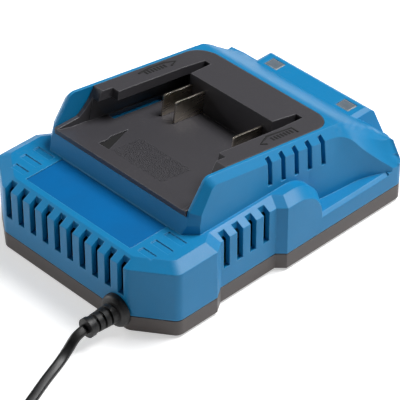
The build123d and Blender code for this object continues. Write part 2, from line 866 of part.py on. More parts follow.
led_base_z = lamp_board_z + board_thick + part_gap
with BuildPart() as status_leds:
    for side in (1, -1):
        add(drum(side * lamp_x, lamp_y, led_base_z, led_r + 0.4, 0.8))
        with BuildSketch(Plane.XY.offset(led_base_z)):
            with Locations((side * lamp_x, lamp_y)):
                Circle(led_r)
        extrude(amount=lamp_flange_z - led_base_z - 0.3)

with BuildPart() as led_board_screws:
    for side in (1, -1):
        add(drum(side * lamp_post_x, lamp_y, lamp_board_z - 1.2, 1.9, 1.2))
        add(drum(side * lamp_post_x, lamp_y, lamp_board_z, lamp_screw_r, lamp_screw_length - 0.6))

# ================================================================ battery cradle
insert_front_y = pocket_front_y + insert_gap
rail_curve = [(-24.1, 0.0), (-27.4, -5.3), (-31.0, -9.3), (-34.6, -12.4)]
curb_z = 46.9
with BuildPart() as cradle_insert:
    with BuildSketch(cradle) as footprint:
        with BuildLine():
            Polyline(
                *both_sides(
                    [
                        (insert_half, along(insert_front_y, insert_under)),
                        (insert_half, along(insert_rear_y - insert_gap)),
                    ]
                ),
                close=True,
            )
        make_face()
        fillet(footprint.vertices().group_by(Axis.Y)[-1], insert_corner)
    extrude(amount=-insert_under)
    # the lip hangs over the housing's front wall
    lip_bottom = tower_front_top[1] + 0.1
    add(below_line(
        [
            (lip_y, lip_bottom),
            (insert_front_y + 2, lip_bottom),
            (insert_front_y + 2, curb_z),
            (lip_y, curb_z),
        ],
        insert_half,
    ))
    # the rails fall away towards the mouth
    rail_points = [(y, rim_height(y) + drop) for y, drop in rail_curve]
    add(
        below_line(
            [(lip_y - 2, cradle_z + 12), (lip_y - 2, curb_z), (rail_points[-1][0], curb_z)]
            + rail_points[-2::-1]
            + [(rail_points[0][0], cradle_z + 12)],
            insert_half + 1,
        ),
        mode=Mode.SUBTRACT,
    )
    # mouth: lip ramp, floor and the sloping front ends of the rails
    add(
        below_line(
            [
                (lip_y - 2, cradle_z + 12),
                (lip_y - 2, lip_z + 2 * lip_ramp),
                (lip_crease_y, rim_height(lip_crease_y, insert_depth)),
                (rail_leadin_y, rim_height(rail_leadin_y, insert_depth)),
                (rail_front_y, rim_height(rail_front_y)),
                (rail_front_y, cradle_z + 12),
            ],
            rail_leadin_half,
        ),
        mode=Mode.SUBTRACT,
    )
    # bay between the rails, the notch at their front ends, and the channels under the ledges
    cuts = [
        (-bay_half, bay_half, rail_leadin_y, bay_rear_y, 1.0, insert_depth),
        (-rail_notch_half, rail_notch_half, rail_leadin_y, rail_notch_y, 1.0, insert_depth),
        (-channel_half, channel_half, rail_leadin_y, bay_rear_y, -rail_ledge, insert_depth),
        (key_rear_half, channel_half, bay_rear_y - 1, key_slot_rear_y, -rail_ledge, insert_depth),
        (-channel_half, -key_rear_half, bay_rear_y - 1, key_slot_rear_y, -rail_ledge, insert_depth),
    ]
    for x0, x1, y0, y1, top, depth in cuts:
        with BuildSketch(cradle.offset(top)):
            with Locations(((x0 + x1) / 2, along((y0 + y1) / 2))):
                Rectangle(x1 - x0, along(y1 - y0))
        extrude(amount=-(depth + top), mode=Mode.SUBTRACT)
    # slots each side of the rear key
    for side in (1, -1):
        with BuildSketch(cradle.offset(1)):
            with BuildLine():
                Polyline(
                    (side * key_front_half, along(bay_rear_y)),
                    (side * key_front_half, along(bay_rear_y - 1)),
                    (side * bay_half, along(bay_rear_y - 1)),
                    (side * bay_half, along(bay_rear_y)),
                    (side * key_slot_outer, along(key_slot_rear_y)),
                    (side * key_rear_half, along(key_slot_rear_y)),
                    close=True,
                )
            make_face()
        extrude(amount=-(1 + insert_depth), mode=Mode.SUBTRACT)
    # core-outs in the channel floors, which let the battery's rails run clear
    for side in (1, -1):
        with BuildSketch(cradle.offset(-insert_depth + 1)):
            with Locations(
                (
                    side * (core_out_x[0] + core_out_x[1]) / 2,
                    along((core_out_y[0] + core_out_y[1]) / 2, insert_depth),
                )
            ):
                Rectangle(core_out_x[1] - core_out_x[0], along(core_out_y[1] - core_out_y[0]))
        extrude(amount=-(insert_floor + 2), mode=Mode.SUBTRACT)
    # blade slots up through the key, and a hollow that keeps its wall even
    for x in blade_x:
        with BuildSketch(cradle.offset(-(insert_under + 1))):
            with Locations((x, along((bay_rear_y - 1 + blade_root_y + blade_slot_gap) / 2))):
                Rectangle(
                    blade_thick + 2 * blade_slot_gap,
                    along(blade_root_y + blade_slot_gap - bay_rear_y + 1),
                )
        extrude(amount=insert_under + 1 - blade_top + blade_slot_gap, mode=Mode.SUBTRACT)
    with BuildSketch(cradle.offset(-(insert_under + 1))):
        with Locations(
            (
                (key_hollow_x[0] + key_hollow_x[1]) / 2,
                along((bay_rear_y + key_wall + key_hollow_rear_y) / 2),
            )
        ):
            Rectangle(
                key_hollow_x[1] - key_hollow_x[0],
                along(key_hollow_rear_y - bay_rear_y - key_wall),
            )
    extrude(amount=insert_under + 1 - key_roof, mode=Mode.SUBTRACT)
    # arrow sunk in the floor
    with BuildSketch(cradle.offset(-insert_depth + 1)):
        with BuildLine():
            Polyline(*[(x, along(y, insert_depth)) for x, y in arrow_outline], close=True)
        make_face()
    extrude(amount=-(1 + arrow_depth), mode=Mode.SUBTRACT)
    # pilot holes for its own screws and the terminal holder's
    with BuildSketch(cradle.offset(-(insert_under + 1))):
        with Locations(*insert_screw_places):
            Circle(screw_r + pilot_gap)
    extrude(amount=1 + insert_screw_bite + 0.1, mode=Mode.SUBTRACT)
    with BuildSketch(cradle.offset(-(insert_under + 1))):
        with Locations(*holder_screw_places):
            Circle(small_screw_r + pilot_gap)
    extrude(amount=1 + holder_screw_length - holder_thick + 0.4, mode=Mode.SUBTRACT)

with BuildPart() as terminal_holder:
    with BuildSketch(cradle.offset(-pocket_floor)):
        with Locations(((holder_x[0] + holder_x[1]) / 2, along((holder_y[0] + holder_y[1]) / 2))):
            RectangleRounded(holder_x[1] - holder_x[0], along(holder_y[1] - holder_y[0]), 1.0)
        for x in blade_x:
            with Locations((x, along((blade_leg_y + blade_root_y) / 2))):
                Rectangle(
                    blade_thick + 2 * blade_slot_gap,
                    along(blade_root_y - blade_leg_y) + 2 * blade_slot_gap,
                    mode=Mode.SUBTRACT,
                )
        with Locations(*holder_screw_places):
            Circle(small_screw_r + screw_play, mode=Mode.SUBTRACT)
    extrude(amount=-holder_thick)


def contact_blade(x):
    """A nickel-plated blade: contact flag, leg down through the holder, and a wire tab."""
    flag_bottom = -(insert_depth - blade_lift)
    flag_front = along(blade_front_y, blade_top)
    blade_plane = Plane(
        origin=(x - blade_thick / 2, 0, cradle_z), x_dir=(0, 1, -cradle_fall), z_dir=(1, 0, 0)
    )
    tab_y = along((blade_leg_y + blade_root_y - tab_width) / 2)
    with BuildPart() as blade:
        with BuildSketch(blade_plane):
            with BuildLine():
                Polyline(
                    (flag_front, flag_bottom),
                    (along(blade_leg_y), flag_bottom),
                    (along(blade_leg_y), -blade_leg_drop),
                    (tab_y, -blade_leg_drop),
                    (tab_y, -tab_drop),
                    (tab_y + tab_width, -tab_drop),
                    (tab_y + tab_width, -blade_leg_drop),
                    (along(blade_root_y), -blade_leg_drop),
                    (along(blade_root_y), -blade_top),
                    (flag_front, -blade_top),
                    close=True,
                )
            make_face()
        extrude(amount=blade_thick)
        nose = blade.edges().filter_by(Axis.X).sort_by(Axis.Z)[-2:].sort_by(Axis.Y)[0]
        fillet(nose, 1.2)
    return blade


terminal_blade_positive = contact_blade(blade_x[2])
terminal_blade_sense = contact_blade(blade_x[1])
terminal_blade_negative = contact_blade(blade_x[0])

# ================================================================ circuit board and its parts
board_top = board_z + board_thick
seat_z = board_top + part_gap
with BuildPart() as main_board:
    with BuildSketch(Plane.XY.offset(board_z)):
        with Locations((0, (board_front_y + board_rear_y) / 2)):
            RectangleRounded(2 * board_half, board_rear_y - board_front_y, 2.0)
        with Locations(*corners_of(board_screw_xy)):
            Circle(screw_r + screw_play, mode=Mode.SUBTRACT)
    extrude(amount=board_thick)

fuse_x = 13.0
fuse_y = -50.0
fuse_z = seat_z + 3.4
with BuildPart() as mains_fuse:
    with BuildSketch(Plane.YZ.offset(fuse_x)):
        with Locations((fuse_y, fuse_z)):
            Circle(2.5)
    extrude(amount=20)
    for clip_x in (fuse_x + 0.5, fuse_x + 15.5):
        add(box_at(clip_x, clip_x + 4, fuse_y - 2.6, fuse_y + 2.6, seat_z, fuse_z))

with BuildPart() as x2_capacitor:
    add(box_at(-6.0, 10.0, -53.0, -44.5, seat_z, seat_z + 14.5))
    chamfer(x2_capacitor.edges().filter_by(Axis.Z), 0.8)

with BuildPart() as common_mode_choke:
    with BuildSketch(Plane.XY.offset(seat_z)):
        with Locations((31.0, -34.5)):
            Circle(8.5)
            Circle(4.0, mode=Mode.SUBTRACT)
    extrude(amount=9.5)
    fillet(common_mode_choke.faces().sort_by(Axis.Z)[-1].edges(), 1.6)

with BuildPart() as bridge_rectifier:
    add(box_at(2.0, 17.0, -40.0, -36.0, seat_z + 2.5, seat_z + 13.5))
    for i in range(4):
        add(box_at(3.6 + i * 3.7, 4.4 + i * 3.7, -38.3, -37.7, seat_z, seat_z + 2.6))

bulk_r = 8.0
with BuildPart() as bulk_capacitor:
    with BuildSketch(Plane.YZ.offset(-36.0)):
        with Locations((-44.5, seat_z + bulk_r)):
            Circle(bulk_r)
    extrude(amount=28)
    fillet(bulk_capacitor.edges().filter_by(GeomType.CIRCLE), 0.8)

core_z = seat_z + 4.5
core_top = core_z + 11.0
with BuildPart() as transformer_core:
    add(box_at(-15.0, 15.0, -20.0, 6.0, core_z, core_top))
    add(box_at(5.2, 10.4, -15.8, 1.8, core_z - 1, core_top + 1), mode=Mode.SUBTRACT)
    add(box_at(-10.4, -5.2, -15.8, 1.8, core_z - 1, core_top + 1), mode=Mode.SUBTRACT)

with BuildPart() as transformer_bobbin:
    add(box_at(-9.8, 9.8, -15.4, -13.6, seat_z, core_top + 2))
    add(box_at(-9.8, 9.8, -0.4, 1.4, seat_z, core_top + 2))
    add(box_at(-6.4, 6.4, -13.7, -0.3, core_z - 1.4, core_top + 1.4))
    add(box_at(-5.3, 5.3, -22.0, 8.0, core_z - 0.1, core_top + 0.1), mode=Mode.SUBTRACT)

with BuildPart() as transformer_winding:
    add(box_at(-9.4, 9.4, -13.5, -0.5, core_z - 3.6, core_top + 1.8))
    add(box_at(-6.5, 6.5, -14.0, 0.0, core_z - 1.5, core_top + 1.5), mode=Mode.SUBTRACT)

with BuildPart() as primary_heatsink:
    add(box_at(22.0, 40.0, -19.0, -17.0, seat_z, seat_z + 16.0))
    for i in range(4):
        add(box_at(23.0 + i * 5.0, 24.2 + i * 5.0, -17.1, -11.0, seat_z + 2, seat_z + 16.0))

with BuildPart() as power_transistor:
    add(box_at(26.0, 36.0, -23.6, -19.1, seat_z + 3.5, seat_z + 13.0))
    for i in range(3):
        add(box_at(28.1 + i * 2.54, 28.9 + i * 2.54, -22.4, -21.8, seat_z, seat_z + 3.6))

with BuildPart() as output_heatsink:
    add(box_at(-40.0, -22.0, 6.0, 8.0, seat_z, seat_z + 14.0))
    for i in range(4):
        add(box_at(-39.0 + i * 5.0, -37.8 + i * 5.0, 7.9, 13.0, seat_z + 2, seat_z + 14.0))

with BuildPart() as output_diode:
    add(box_at(-36.0, -26.0, 1.4, 5.9, seat_z + 3.5, seat_z + 12.5))
    for i in range(3):
        add(box_at(-33.9 + i * 2.54, -33.1 + i * 2.54, 2.6, 3.2, seat_z, seat_z + 3.6))

with BuildPart() as output_capacitors:
    for capacitor_y in (20.5, 32.0):
        add(drum(-34.0, capacitor_y, seat_z, 5.0, 12.5))
    fillet(output_capacitors.edges().filter_by(GeomType.CIRCLE), 0.6)

with BuildPart() as y_capacitor:
    with BuildSketch(Plane.XZ.offset(-11.5)):
        with Locations((14.0, seat_z + 5.0)):
            Circle(4.6)
        with Locations((14.0, seat_z + 1.5)):
            Rectangle(3.0, 3.0)
    extrude(amount=-3.6)

with BuildPart() as optocoupler:
    add(box_at(1.0, 7.4, 12.0, 16.6, seat_z + 0.6, seat_z + 4.2))
    for pin_x in (2.0, 5.9):
        add(box_at(pin_x, pin_x + 0.5, 11.2, 17.4, seat_z, seat_z + 1.4))

with BuildPart() as control_chips:
    add(box_at(2.0, 14.8, 30.0, 37.5, seat_z, seat_z + 2.4))
    add(box_at(-20.0, -15.0, -32.0, -28.0, seat_z, seat_z + 1.7))

with BuildPart() as shunt_resistors:
    for i in range(3):
        add(box_at(-10.0 + i * 5.0, -7.0 + i * 5.0, 40.0, 46.4, seat_z, seat_z + 0.9))


# ================================================================ wires
def cradle_point(x, distance, depth):
    """A point by its distance along the rim plane and its depth under it."""
    y = (distance - cradle_fall * depth) / rim_stretch
    return (x, y, rim_height(y, depth))


def wire(points, radius, bend):
    """A round insulated wire along straight runs with tangent bends."""
    with BuildPart() as run:
        with BuildLine() as path:
            FilletPolyline(*points, radius=bend)
        with BuildSketch(Plane(origin=path.line @ 0, z_dir=path.line % 0)):
            Circle(radius)
        sweep()
    return run.part


tab_middle = along((blade_leg_y + blade_root_y - tab_width) / 2) + tab_width / 2
wire_offset = blade_thick / 2 + wire_r + 0.05  # the wires are soldered to the tabs' sides
with BuildPart() as output_wires:
    for x in blade_x:
        start = cradle_point(x + wire_offset, tab_middle, tab_drop - 1.0)
        route = [
            start,
            (start[0], start[1], start[2] - 3.6),
            (start[0], start[1] + 14.0, seat_z + 4.0),
            (start[0], start[1] + 14.0, seat_z),
        ]
        add(wire(route, wire_r, 2.2))

with BuildPart() as mains_wires:
    for offset in (-1.6, 1.6):
        route = [
            (lead_x + offset, gland_inner_y, lead_z),
            (lead_x + offset, gland_inner_y + 6.0, lead_z),
            (lead_x + 2 * offset, board_front_y - 3.0, board_top + 3.5),
            (lead_x + 2 * offset, board_front_y + mains_wire_r + 0.1, board_top + 3.5),
            (lead_x + 2 * offset, board_front_y + mains_wire_r + 0.1, seat_z),
        ]
        add(wire(route, mains_wire_r, 1.5))

ribbon_top_y = lamp_y - led_board_width / 2 + 0.6
with BuildPart() as led_ribbon:
    with BuildSketch(Plane.YZ):
        with BuildLine():
            Polyline(
                (ribbon_top_y, lamp_board_z - 0.05),
                (ribbon_top_y - 0.6, lamp_board_z - 3.6),
                (board_rear_y - 1.0, seat_z + 0.7),
                (board_rear_y - 2.0, seat_z),
                (board_rear_y - 1.0, seat_z),
                (ribbon_top_y - 0.1, lamp_board_z - 4.0),
                (ribbon_top_y + 0.6, lamp_board_z - 0.05),
                close=True,
            )
        make_face()
    extrude(amount=ribbon_half, both=True)

# ================================================================ feet and screws
with BuildPart() as rubber_feet:
    for place in corners_of([foot_xy, (foot_xy[0], -foot_xy[1])]):
        add(drum(*place, 0.0, foot_r, case_bottom_z + foot_sink))
    chamfer(rubber_feet.faces().sort_by(Axis.Z)[:4].edges(), 0.3)

with BuildPart() as case_screws:
    for x, y in corners_of(case_screw_xy):
        add(drum(x, y, case_head_z, screw_head_r, screw_head))
        add(drum(x, y, case_head_z + screw_head, screw_r, case_screw_length - screw_head))

with BuildPart() as board_screws:
    for x, y in corners_of(board_screw_xy):
        add(drum(x, y, board_top, small_head_r, small_head))
        add(drum(x, y, board_top - board_screw_length, screw_r, board_screw_length))


def cradle_screws(places, level, head_r, head, shank_r, length):
    """Pan-head screws driven up from under the cradle, heads against the level below the rim."""
    with BuildPart() as screws:
        with BuildSketch(cradle.offset(-level)):
            with Locations(*places):
                Circle(head_r)
        extrude(amount=-head)
        with BuildSketch(cradle.offset(-level)):
            with Locations(*places):
                Circle(shank_r)
        extrude(amount=length)
    return screws


insert_screws = cradle_screws(
    insert_screw_places, ledge_under, small_head_r, small_head, screw_r, ledge_thick + 0.1 + insert_screw_bite
)
holder_screws = cradle_screws(
    holder_screw_places, pocket_floor + holder_thick, 1.9, 1.2, small_screw_r, holder_screw_length
)

# ================================================================ mains lead
case_front_y = -half_length


def strain_relief_edges(corners):
    """The profile's corners that are rounded: the flange's front, then both of the end bead."""
    flange = (lead_x + gland_flange_r, gland_flange_y)
    bead = (lead_x + gland_ring_r, gland_tip_y)
    bead_back = (lead_x + gland_ring_r, gland_tip_y + gland_ring)
    return [corners.sort_by_distance((x, y, 0))[0] for x, y in (flange, bead, bead_back)]


with BuildPart() as strain_relief:
    with BuildSketch(Plane.XY.offset(lead_z)) as gland_face:
        with BuildLine():
            Polyline(
                (lead_x, gland_inner_y),
                (lead_x, gland_tip_y),
                (lead_x + gland_ring_r, gland_tip_y),
                (lead_x + gland_ring_r, gland_tip_y + gland_ring),
                (lead_x + gland_tip_r, gland_tip_y + gland_ring),
                (lead_x + gland_root_r, gland_flange_y),
                (lead_x + gland_flange_r, gland_flange_y),
                (lead_x + gland_flange_r, case_front_y - 0.1),
                (lead_x + gland_r, case_front_y - 0.1),
                (lead_x + gland_r, case_front_y + wall + 0.1),
                (lead_x + gland_inner_r, case_front_y + wall + 0.1),
                (lead_x + gland_inner_r, gland_inner_y),
                close=True,
            )
        make_face()
        profile = strain_relief_edges(gland_face.vertices())
        fillet(profile[0], gland_dome)
        fillet(profile[1:], 0.7)
    revolve(axis=Axis((lead_x, 0, lead_z), (0, 1, 0)))
    # flexing slots in both flanks leave a core and a rib above and below it
    slot_reach = gland_root_r + 1
    for i in range(gland_slots):
        slot_y = gland_slot_y - i * gland_slot_pitch
        with BuildSketch(Plane.XZ.offset(-slot_y)):
            with Locations((lead_x, lead_z)):
                Circle(slot_reach)
                Circle(gland_core_r, mode=Mode.SUBTRACT)
                Rectangle(2 * gland_rib, 2 * gland_web_r, mode=Mode.SUBTRACT)
        extrude(amount=gland_slot_width / 2, both=True, mode=Mode.SUBTRACT)


def bend_radii(points):
    """The arc at each corner of a route, as large as its two runs allow."""
    radii = []
    for a, b, c in zip(points, points[1:], points[2:]):
        before = Vector(b) - Vector(a)
        after = Vector(c) - Vector(b)
        turn = radians(before.get_angle(after))
        radii.append(0.45 * min(before.length, after.length) / tan(turn / 2))
    return radii


lead_radii = bend_radii(lead_route)
print("lead radii", [round(r, 1) for r in lead_radii])
with BuildPart() as mains_lead:
    with BuildLine() as lead_path:
        FilletPolyline(*lead_route, radius=lead_radii)
    with BuildSketch(Plane(origin=lead_path.line @ 0, z_dir=lead_path.line % 0)):
        Circle(lead_r)
    sweep()
lead_length = lead_path.wire().length
tube_volume = pi * lead_r**2 * lead_length
print("lead tube", round(lead_length, 2), "volume ratio", round(mains_lead.part.volume / tube_volume, 4))

coil_band = coil_columns * cord_width / 2
coil_outer_turn = coil_turn_r + (coil_columns - 1) / 2 * cord_width
coil_x = coil_entry_x - coil_outer_turn
plug_y = coil_y - coil_outer_turn
plug_z = plug_half_thick
joint_gap = lead_r + 0.6
with BuildPart() as cord_coil:
    with BuildSketch(Plane.XY.offset(coil_foot)):
        with Locations((coil_x, coil_y)):
            Circle(coil_turn_r + coil_band)
            Circle(coil_turn_r - coil_band, mode=Mode.SUBTRACT)
    extrude(amount=coil_height - coil_foot)
    # room for the lead, which runs into the outer turn at the bottom and leaves it on top
    entry_inner_x = coil_entry_x - joint_gap
    add(
        box_at(entry_inner_x, coil_entry_x + 8, coil_joint_y, coil_joint_y + 20, -1.0, lead_floor_z + joint_gap),
        mode=Mode.SUBTRACT,
    )
    add(
        box_at(
            coil_joint_x - 20, coil_joint_x, plug_y - 8, plug_y + joint_gap, plug_z - joint_gap, coil_height + 1
        ),
        mode=Mode.SUBTRACT,
    )

tie_x_dir = (cos(radians(tie_angle)), sin(radians(tie_angle)), 0)
tie_middle = (
    coil_x + coil_turn_r * tie_x_dir[0],
    coil_y + coil_turn_r * tie_x_dir[1],
    (coil_foot + coil_height) / 2,
)
tie_inner_height = coil_height - coil_foot + 2 * tie_gap
tie_inner_width = 2 * (coil_band + 4 * tie_gap)  # the coil curves inside the straight tie
with BuildPart() as coil_tie:
    with BuildSketch(Plane(origin=tie_middle, x_dir=tie_x_dir, z_dir=(-tie_x_dir[1], tie_x_dir[0], 0))):
        Rectangle(tie_inner_width + 2 * tie_thick, tie_inner_height + 2 * tie_thick)
        Rectangle(tie_inner_width, tie_inner_height, mode=Mode.SUBTRACT)
    extrude(amount=tie_length / 2, both=True)



def plug_plane(reach):
    """A plane across the plug, `reach` from the end of its tail, facing its pins."""
    return Plane(origin=(plug_tail_x - reach, plug_y, plug_z), x_dir=(0, -1, 0), z_dir=(-1, 0, 0))


def plug_section(scale):
    """The flat plug's eight-sided section."""
    side_z = plug_half_thick / 3
    corner = plug_half_width - (plug_half_thick - side_z)
    right = [(corner, -plug_half_thick), (plug_half_width, -side_z)]
    right += [(x, -z) for x, z in reversed(right)]
    return polygon_sketch([(scale * x, scale * z) for x, z in both_sides(right)])


with BuildPart() as lead_end:
    with BuildSketch(Plane(origin=(coil_joint_x, plug_y, plug_z), z_dir=(-1, 0, 0))):
        Circle(lead_r)
    extrude(amount=coil_joint_x - plug_tail_x)

with BuildPart() as plug_body:
    with BuildSketch(plug_plane(0)):
        Circle(plug_tail_r)
    with BuildSketch(plug_plane(plug_neck)):
        Circle(plug_neck_r)
    loft()
    with BuildSketch(plug_plane(plug_neck)):
        add(plug_section(0.62))
    with BuildSketch(plug_plane(plug_shoulder)):
        add(plug_section(1.0))
    loft(ruled=True)
    with BuildSketch(plug_plane(plug_shoulder)):
        add(plug_section(1.0))
    extrude(amount=plug_length - plug_shoulder)
    # sockets for the pins' shanks
    with BuildSketch(plug_plane(plug_length)):
        with Locations((pin_half_pitch, 0), (-pin_half_pitch, 0)):
            Circle(pin_shank_r + pilot_gap)
    extrude(amount=-pin_socket, mode=Mode.SUBTRACT)

with BuildPart() as pin_sleeves:
    with BuildSketch(plug_plane(plug_length + part_gap)):
        with Locations((pin_half_pitch, 0), (-pin_half_pitch, 0)):
            Circle(pin_sleeve_r)
            Circle(pin_shank_r + pilot_gap, mode=Mode.SUBTRACT)
    extrude(amount=pin_sleeve - 2 * part_gap)

with BuildPart() as plug_pins:
    with BuildSketch(plug_plane(plug_length - pin_socket)):
        with Locations((pin_half_pitch, 0), (-pin_half_pitch, 0)):
            Circle(pin_shank_r)
    extrude(amount=pin_sleeve + pin_socket)
    with BuildSketch(plug_plane(plug_length + pin_sleeve)):
        with Locations((pin_half_pitch, 0), (-pin_half_pitch, 0)):
            Circle(pin_r)
    extrude(amount=pin_length - pin_sleeve)
    fillet(plug_pins.faces().sort_by(Axis.X)[:2].edges(), 1.2)

# ================================================================ labels and files
pieces = {
    "upper_housing": upper_housing,
    "base_tray": base_tray,
    "cradle_insert": cradle_insert,
    "label_plate": label_plate,
    "led_window_left": led_window_left,
    "led_window_right": led_window_right,
    "terminal_blade_positive": terminal_blade_positive,
    "terminal_blade_sense": terminal_blade_sense,
    "terminal_blade_negative": terminal_blade_negative,
    "terminal_holder": terminal_holder,
    "main_board": main_board,
    "mains_fuse": mains_fuse,
    "x2_capacitor": x2_capacitor,
    "common_mode_choke": common_mode_choke,
    "bridge_rectifier": bridge_rectifier,
    "bulk_capacitor": bulk_capacitor,
    "transformer_core": transformer_core,
    "transformer_bobbin": transformer_bobbin,
    "transformer_winding": transformer_winding,
    "primary_heatsink": primary_heatsink,
    "power_transistor": power_transistor,
    "output_heatsink": output_heatsink,
    "output_diode": output_diode,
    "output_capacitors": output_capacitors,
    "y_capacitor": y_capacitor,
    "optocoupler": optocoupler,
    "control_chips": control_chips,
    "shunt_resistors": shunt_resistors,
    "led_board": led_board,
    "status_leds": status_leds,
    "led_ribbon": led_ribbon,
    "output_wires": output_wires,
    "mains_wires": mains_wires,
    "case_screws": case_screws,
    "board_screws": board_screws,
    "insert_screws": insert_screws,
    "holder_screws": holder_screws,
    "led_board_screws": led_board_screws,
    "rubber_feet": rubber_feet,
    "strain_relief": strain_relief,
    "mains_lead": mains_lead,
    "cord_coil": cord_coil,
    "coil_tie": coil_tie,
    "lead_end": lead_end,
    "plug_body": plug_body,
    "plug_pins": plug_pins,
    "pin_sleeves": pin_sleeves,
}
for name, piece in pieces.items():
    piece.part.label = name
    export_step(piece.part, f"parts/{name}.step")
    print(name, piece.part.is_valid, len(piece.part.solids()), round(piece.part.volume, 1))
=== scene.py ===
"""Visual model of a low bench charger for slide-on tool batteries.

Everything is in metres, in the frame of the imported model: +X to the right seen from the battery
mouth, +Y towards the status lamps, +Z up, and the surface it stands on at z = 0.
"""

from __future__ import annotations

import logging
import math
from dataclasses import dataclass, field
from enum import Enum

import bmesh
import bpy
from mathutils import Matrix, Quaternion, Vector

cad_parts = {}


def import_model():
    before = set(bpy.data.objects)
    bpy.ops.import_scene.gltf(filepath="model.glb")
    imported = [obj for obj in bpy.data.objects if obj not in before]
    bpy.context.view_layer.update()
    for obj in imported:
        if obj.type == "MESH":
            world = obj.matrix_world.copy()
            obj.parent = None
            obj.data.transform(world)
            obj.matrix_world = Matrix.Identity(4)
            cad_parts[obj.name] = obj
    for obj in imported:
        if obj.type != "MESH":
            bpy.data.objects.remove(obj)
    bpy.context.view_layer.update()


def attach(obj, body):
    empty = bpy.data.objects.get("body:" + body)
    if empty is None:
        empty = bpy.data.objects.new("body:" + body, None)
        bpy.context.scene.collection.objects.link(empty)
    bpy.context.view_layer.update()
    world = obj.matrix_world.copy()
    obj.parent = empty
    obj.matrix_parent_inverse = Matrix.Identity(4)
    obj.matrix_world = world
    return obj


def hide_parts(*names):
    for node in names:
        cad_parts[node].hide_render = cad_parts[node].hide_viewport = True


log = logging.getLogger("charger")

BODY = "root"
MM = 0.001

Colour = tuple[float, float, float]


# ------------------------------------------------------------------------------------ helpers
def from_srgb(red: float, green: float, blue: float) -> tuple[float, float, float, float]:
    """Turn a display colour into Blender's linear colour.

    Args:
        red, green, blue: display values from 0 to 1.

    Returns:
        Linear red, green, blue and an alpha of 1.
    """

    def linear(value: float) -> float:
        """Undo the display curve of one channel."""
        return value / 12.92 if value <= 0.04045 else ((value + 0.055) / 1.055) ** 2.4

    return (linear(red), linear(green), linear(blue), 1.0)


def node_object(name: str) -> bpy.types.Object:
    """Return the object of a CAD node by its name."""
    return bpy.data.objects[name]


def set_material(piece: bpy.types.Object, material: bpy.types.Material) -> None:
    """Give a piece one material over its whole surface."""
    piece.data.materials.clear()
    piece.data.materials.append(material)


def link(piece: bpy.types.Object) -> bpy.types.Object:
    """Put a new object into the scene and return it."""
    bpy.context.scene.collection.objects.link(piece)
    return piece


def mesh_piece(name: str, mesh: bpy.types.Mesh, material: bpy.types.Material) -> bpy.types.Object:
    """Make a finished mesh into a piece that rides on the charger's body.

    Args:
        name: the piece's name.
        mesh: its mesh, already in place.
        material: its material.

    Returns:
        The new object.
    """
    piece = link(bpy.data.objects.new(name, mesh))
    set_material(piece, material)
    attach(piece, BODY)
    return piece


# ------------------------------------------------------------------------------ shader groups
class Effect(Enum):
    """Shader node groups that several materials share."""

    MOULD_GRAIN = "Mould grain"
    # edge group: rounded edge normals and the mask for a painted edge highlight
    EDGE_SHEEN = "Edge sheen"
    DUST = "Settled dust"


class Wiring:
    """A small helper around a node tree: makes nodes, sets their inputs and links them."""

    def __init__(self, tree: bpy.types.NodeTree) -> None:
        """Keep the tree that the nodes go into."""
        self.tree = tree

    def add(self, kind: str, **inputs: object) -> bpy.types.Node:
        """Make a node.

        Args:
            kind: the node's type name.
            inputs: values or sockets by input name, with spaces written as underscores.

        Returns:
            The new node.
        """
        made = self.tree.nodes.new(kind)
        for name, value in inputs.items():
            self.feed(made, name.replace("_", " "), value)
        return made

    def put(self, socket: bpy.types.NodeSocket, value: object) -> None:
        """Set a socket to a value, or link another socket to it."""
        if isinstance(value, bpy.types.NodeSocket):
            self.tree.links.new(value, socket)
        else:
            socket.default_value = value

    def feed(self, target: bpy.types.Node, name: str | int, value: object) -> None:
        """Set a node's input to a value, or link a socket to it."""
        self.put(target.inputs[name], value)

    def math(self, operation: str, first: object, second: object = 0.0) -> bpy.types.NodeSocket:
        """Combine two numbers and return the result's socket."""
        made = self.tree.nodes.new("ShaderNodeMath")
        made.operation = operation
        self.feed(made, 0, first)
        self.feed(made, 1, second)
        return made.outputs[0]

    def blend(self, factor: object, first: object, second: object) -> bpy.types.NodeSocket:
        """Mix two colours and return the result's socket."""
        made = self.tree.nodes.new("ShaderNodeMix")
        made.data_type = "RGBA"
        self.feed(made, "Factor", factor)
        colours = [socket for socket in made.inputs if socket.type == "RGBA"]
        for socket, value in zip(colours, (first, second)):
            self.put(socket, value)
        return next(socket for socket in made.outputs if socket.type == "RGBA")

    def ramp(
        self, factor: object, low: float, high: float, start: float = 0.0, end: float = 1.0
    ) -> bpy.types.NodeSocket:
        """Map a number from low..high to start..end, clamped, and return the result's socket."""
        made = self.tree.nodes.new("ShaderNodeMapRange")
        self.feed(made, "Value", factor)
        self.feed(made, "From Min", low)
        self.feed(made, "From Max", high)
        self.feed(made, "To Min", start)
        self.feed(made, "To Max", end)
        return made.outputs["Result"]


def new_group(
    effect: Effect, inputs: dict[str, float], outputs: list[tuple[str, str]]
) -> tuple[Wiring, bpy.types.Node, bpy.types.Node]:
    """Start a shader node group with named sockets.

    Args:
        effect: which group it is.
        inputs: number inputs and their defaults.
        outputs: each output's name and socket type.

    Returns:
        The wiring helper, the group's input node and its output node.
    """
    tree = bpy.data.node_groups.new(effect.value, "ShaderNodeTree")
    for name, default in inputs.items():
        socket = tree.interface.new_socket(name=name, in_out="INPUT", socket_type="NodeSocketFloat")
        socket.default_value = default
    for name, kind in outputs:
        tree.interface.new_socket(name=name, in_out="OUTPUT", socket_type=kind)
    wiring = Wiring(tree)
    return wiring, tree.nodes.new("NodeGroupInput"), tree.nodes.new("NodeGroupOutput")


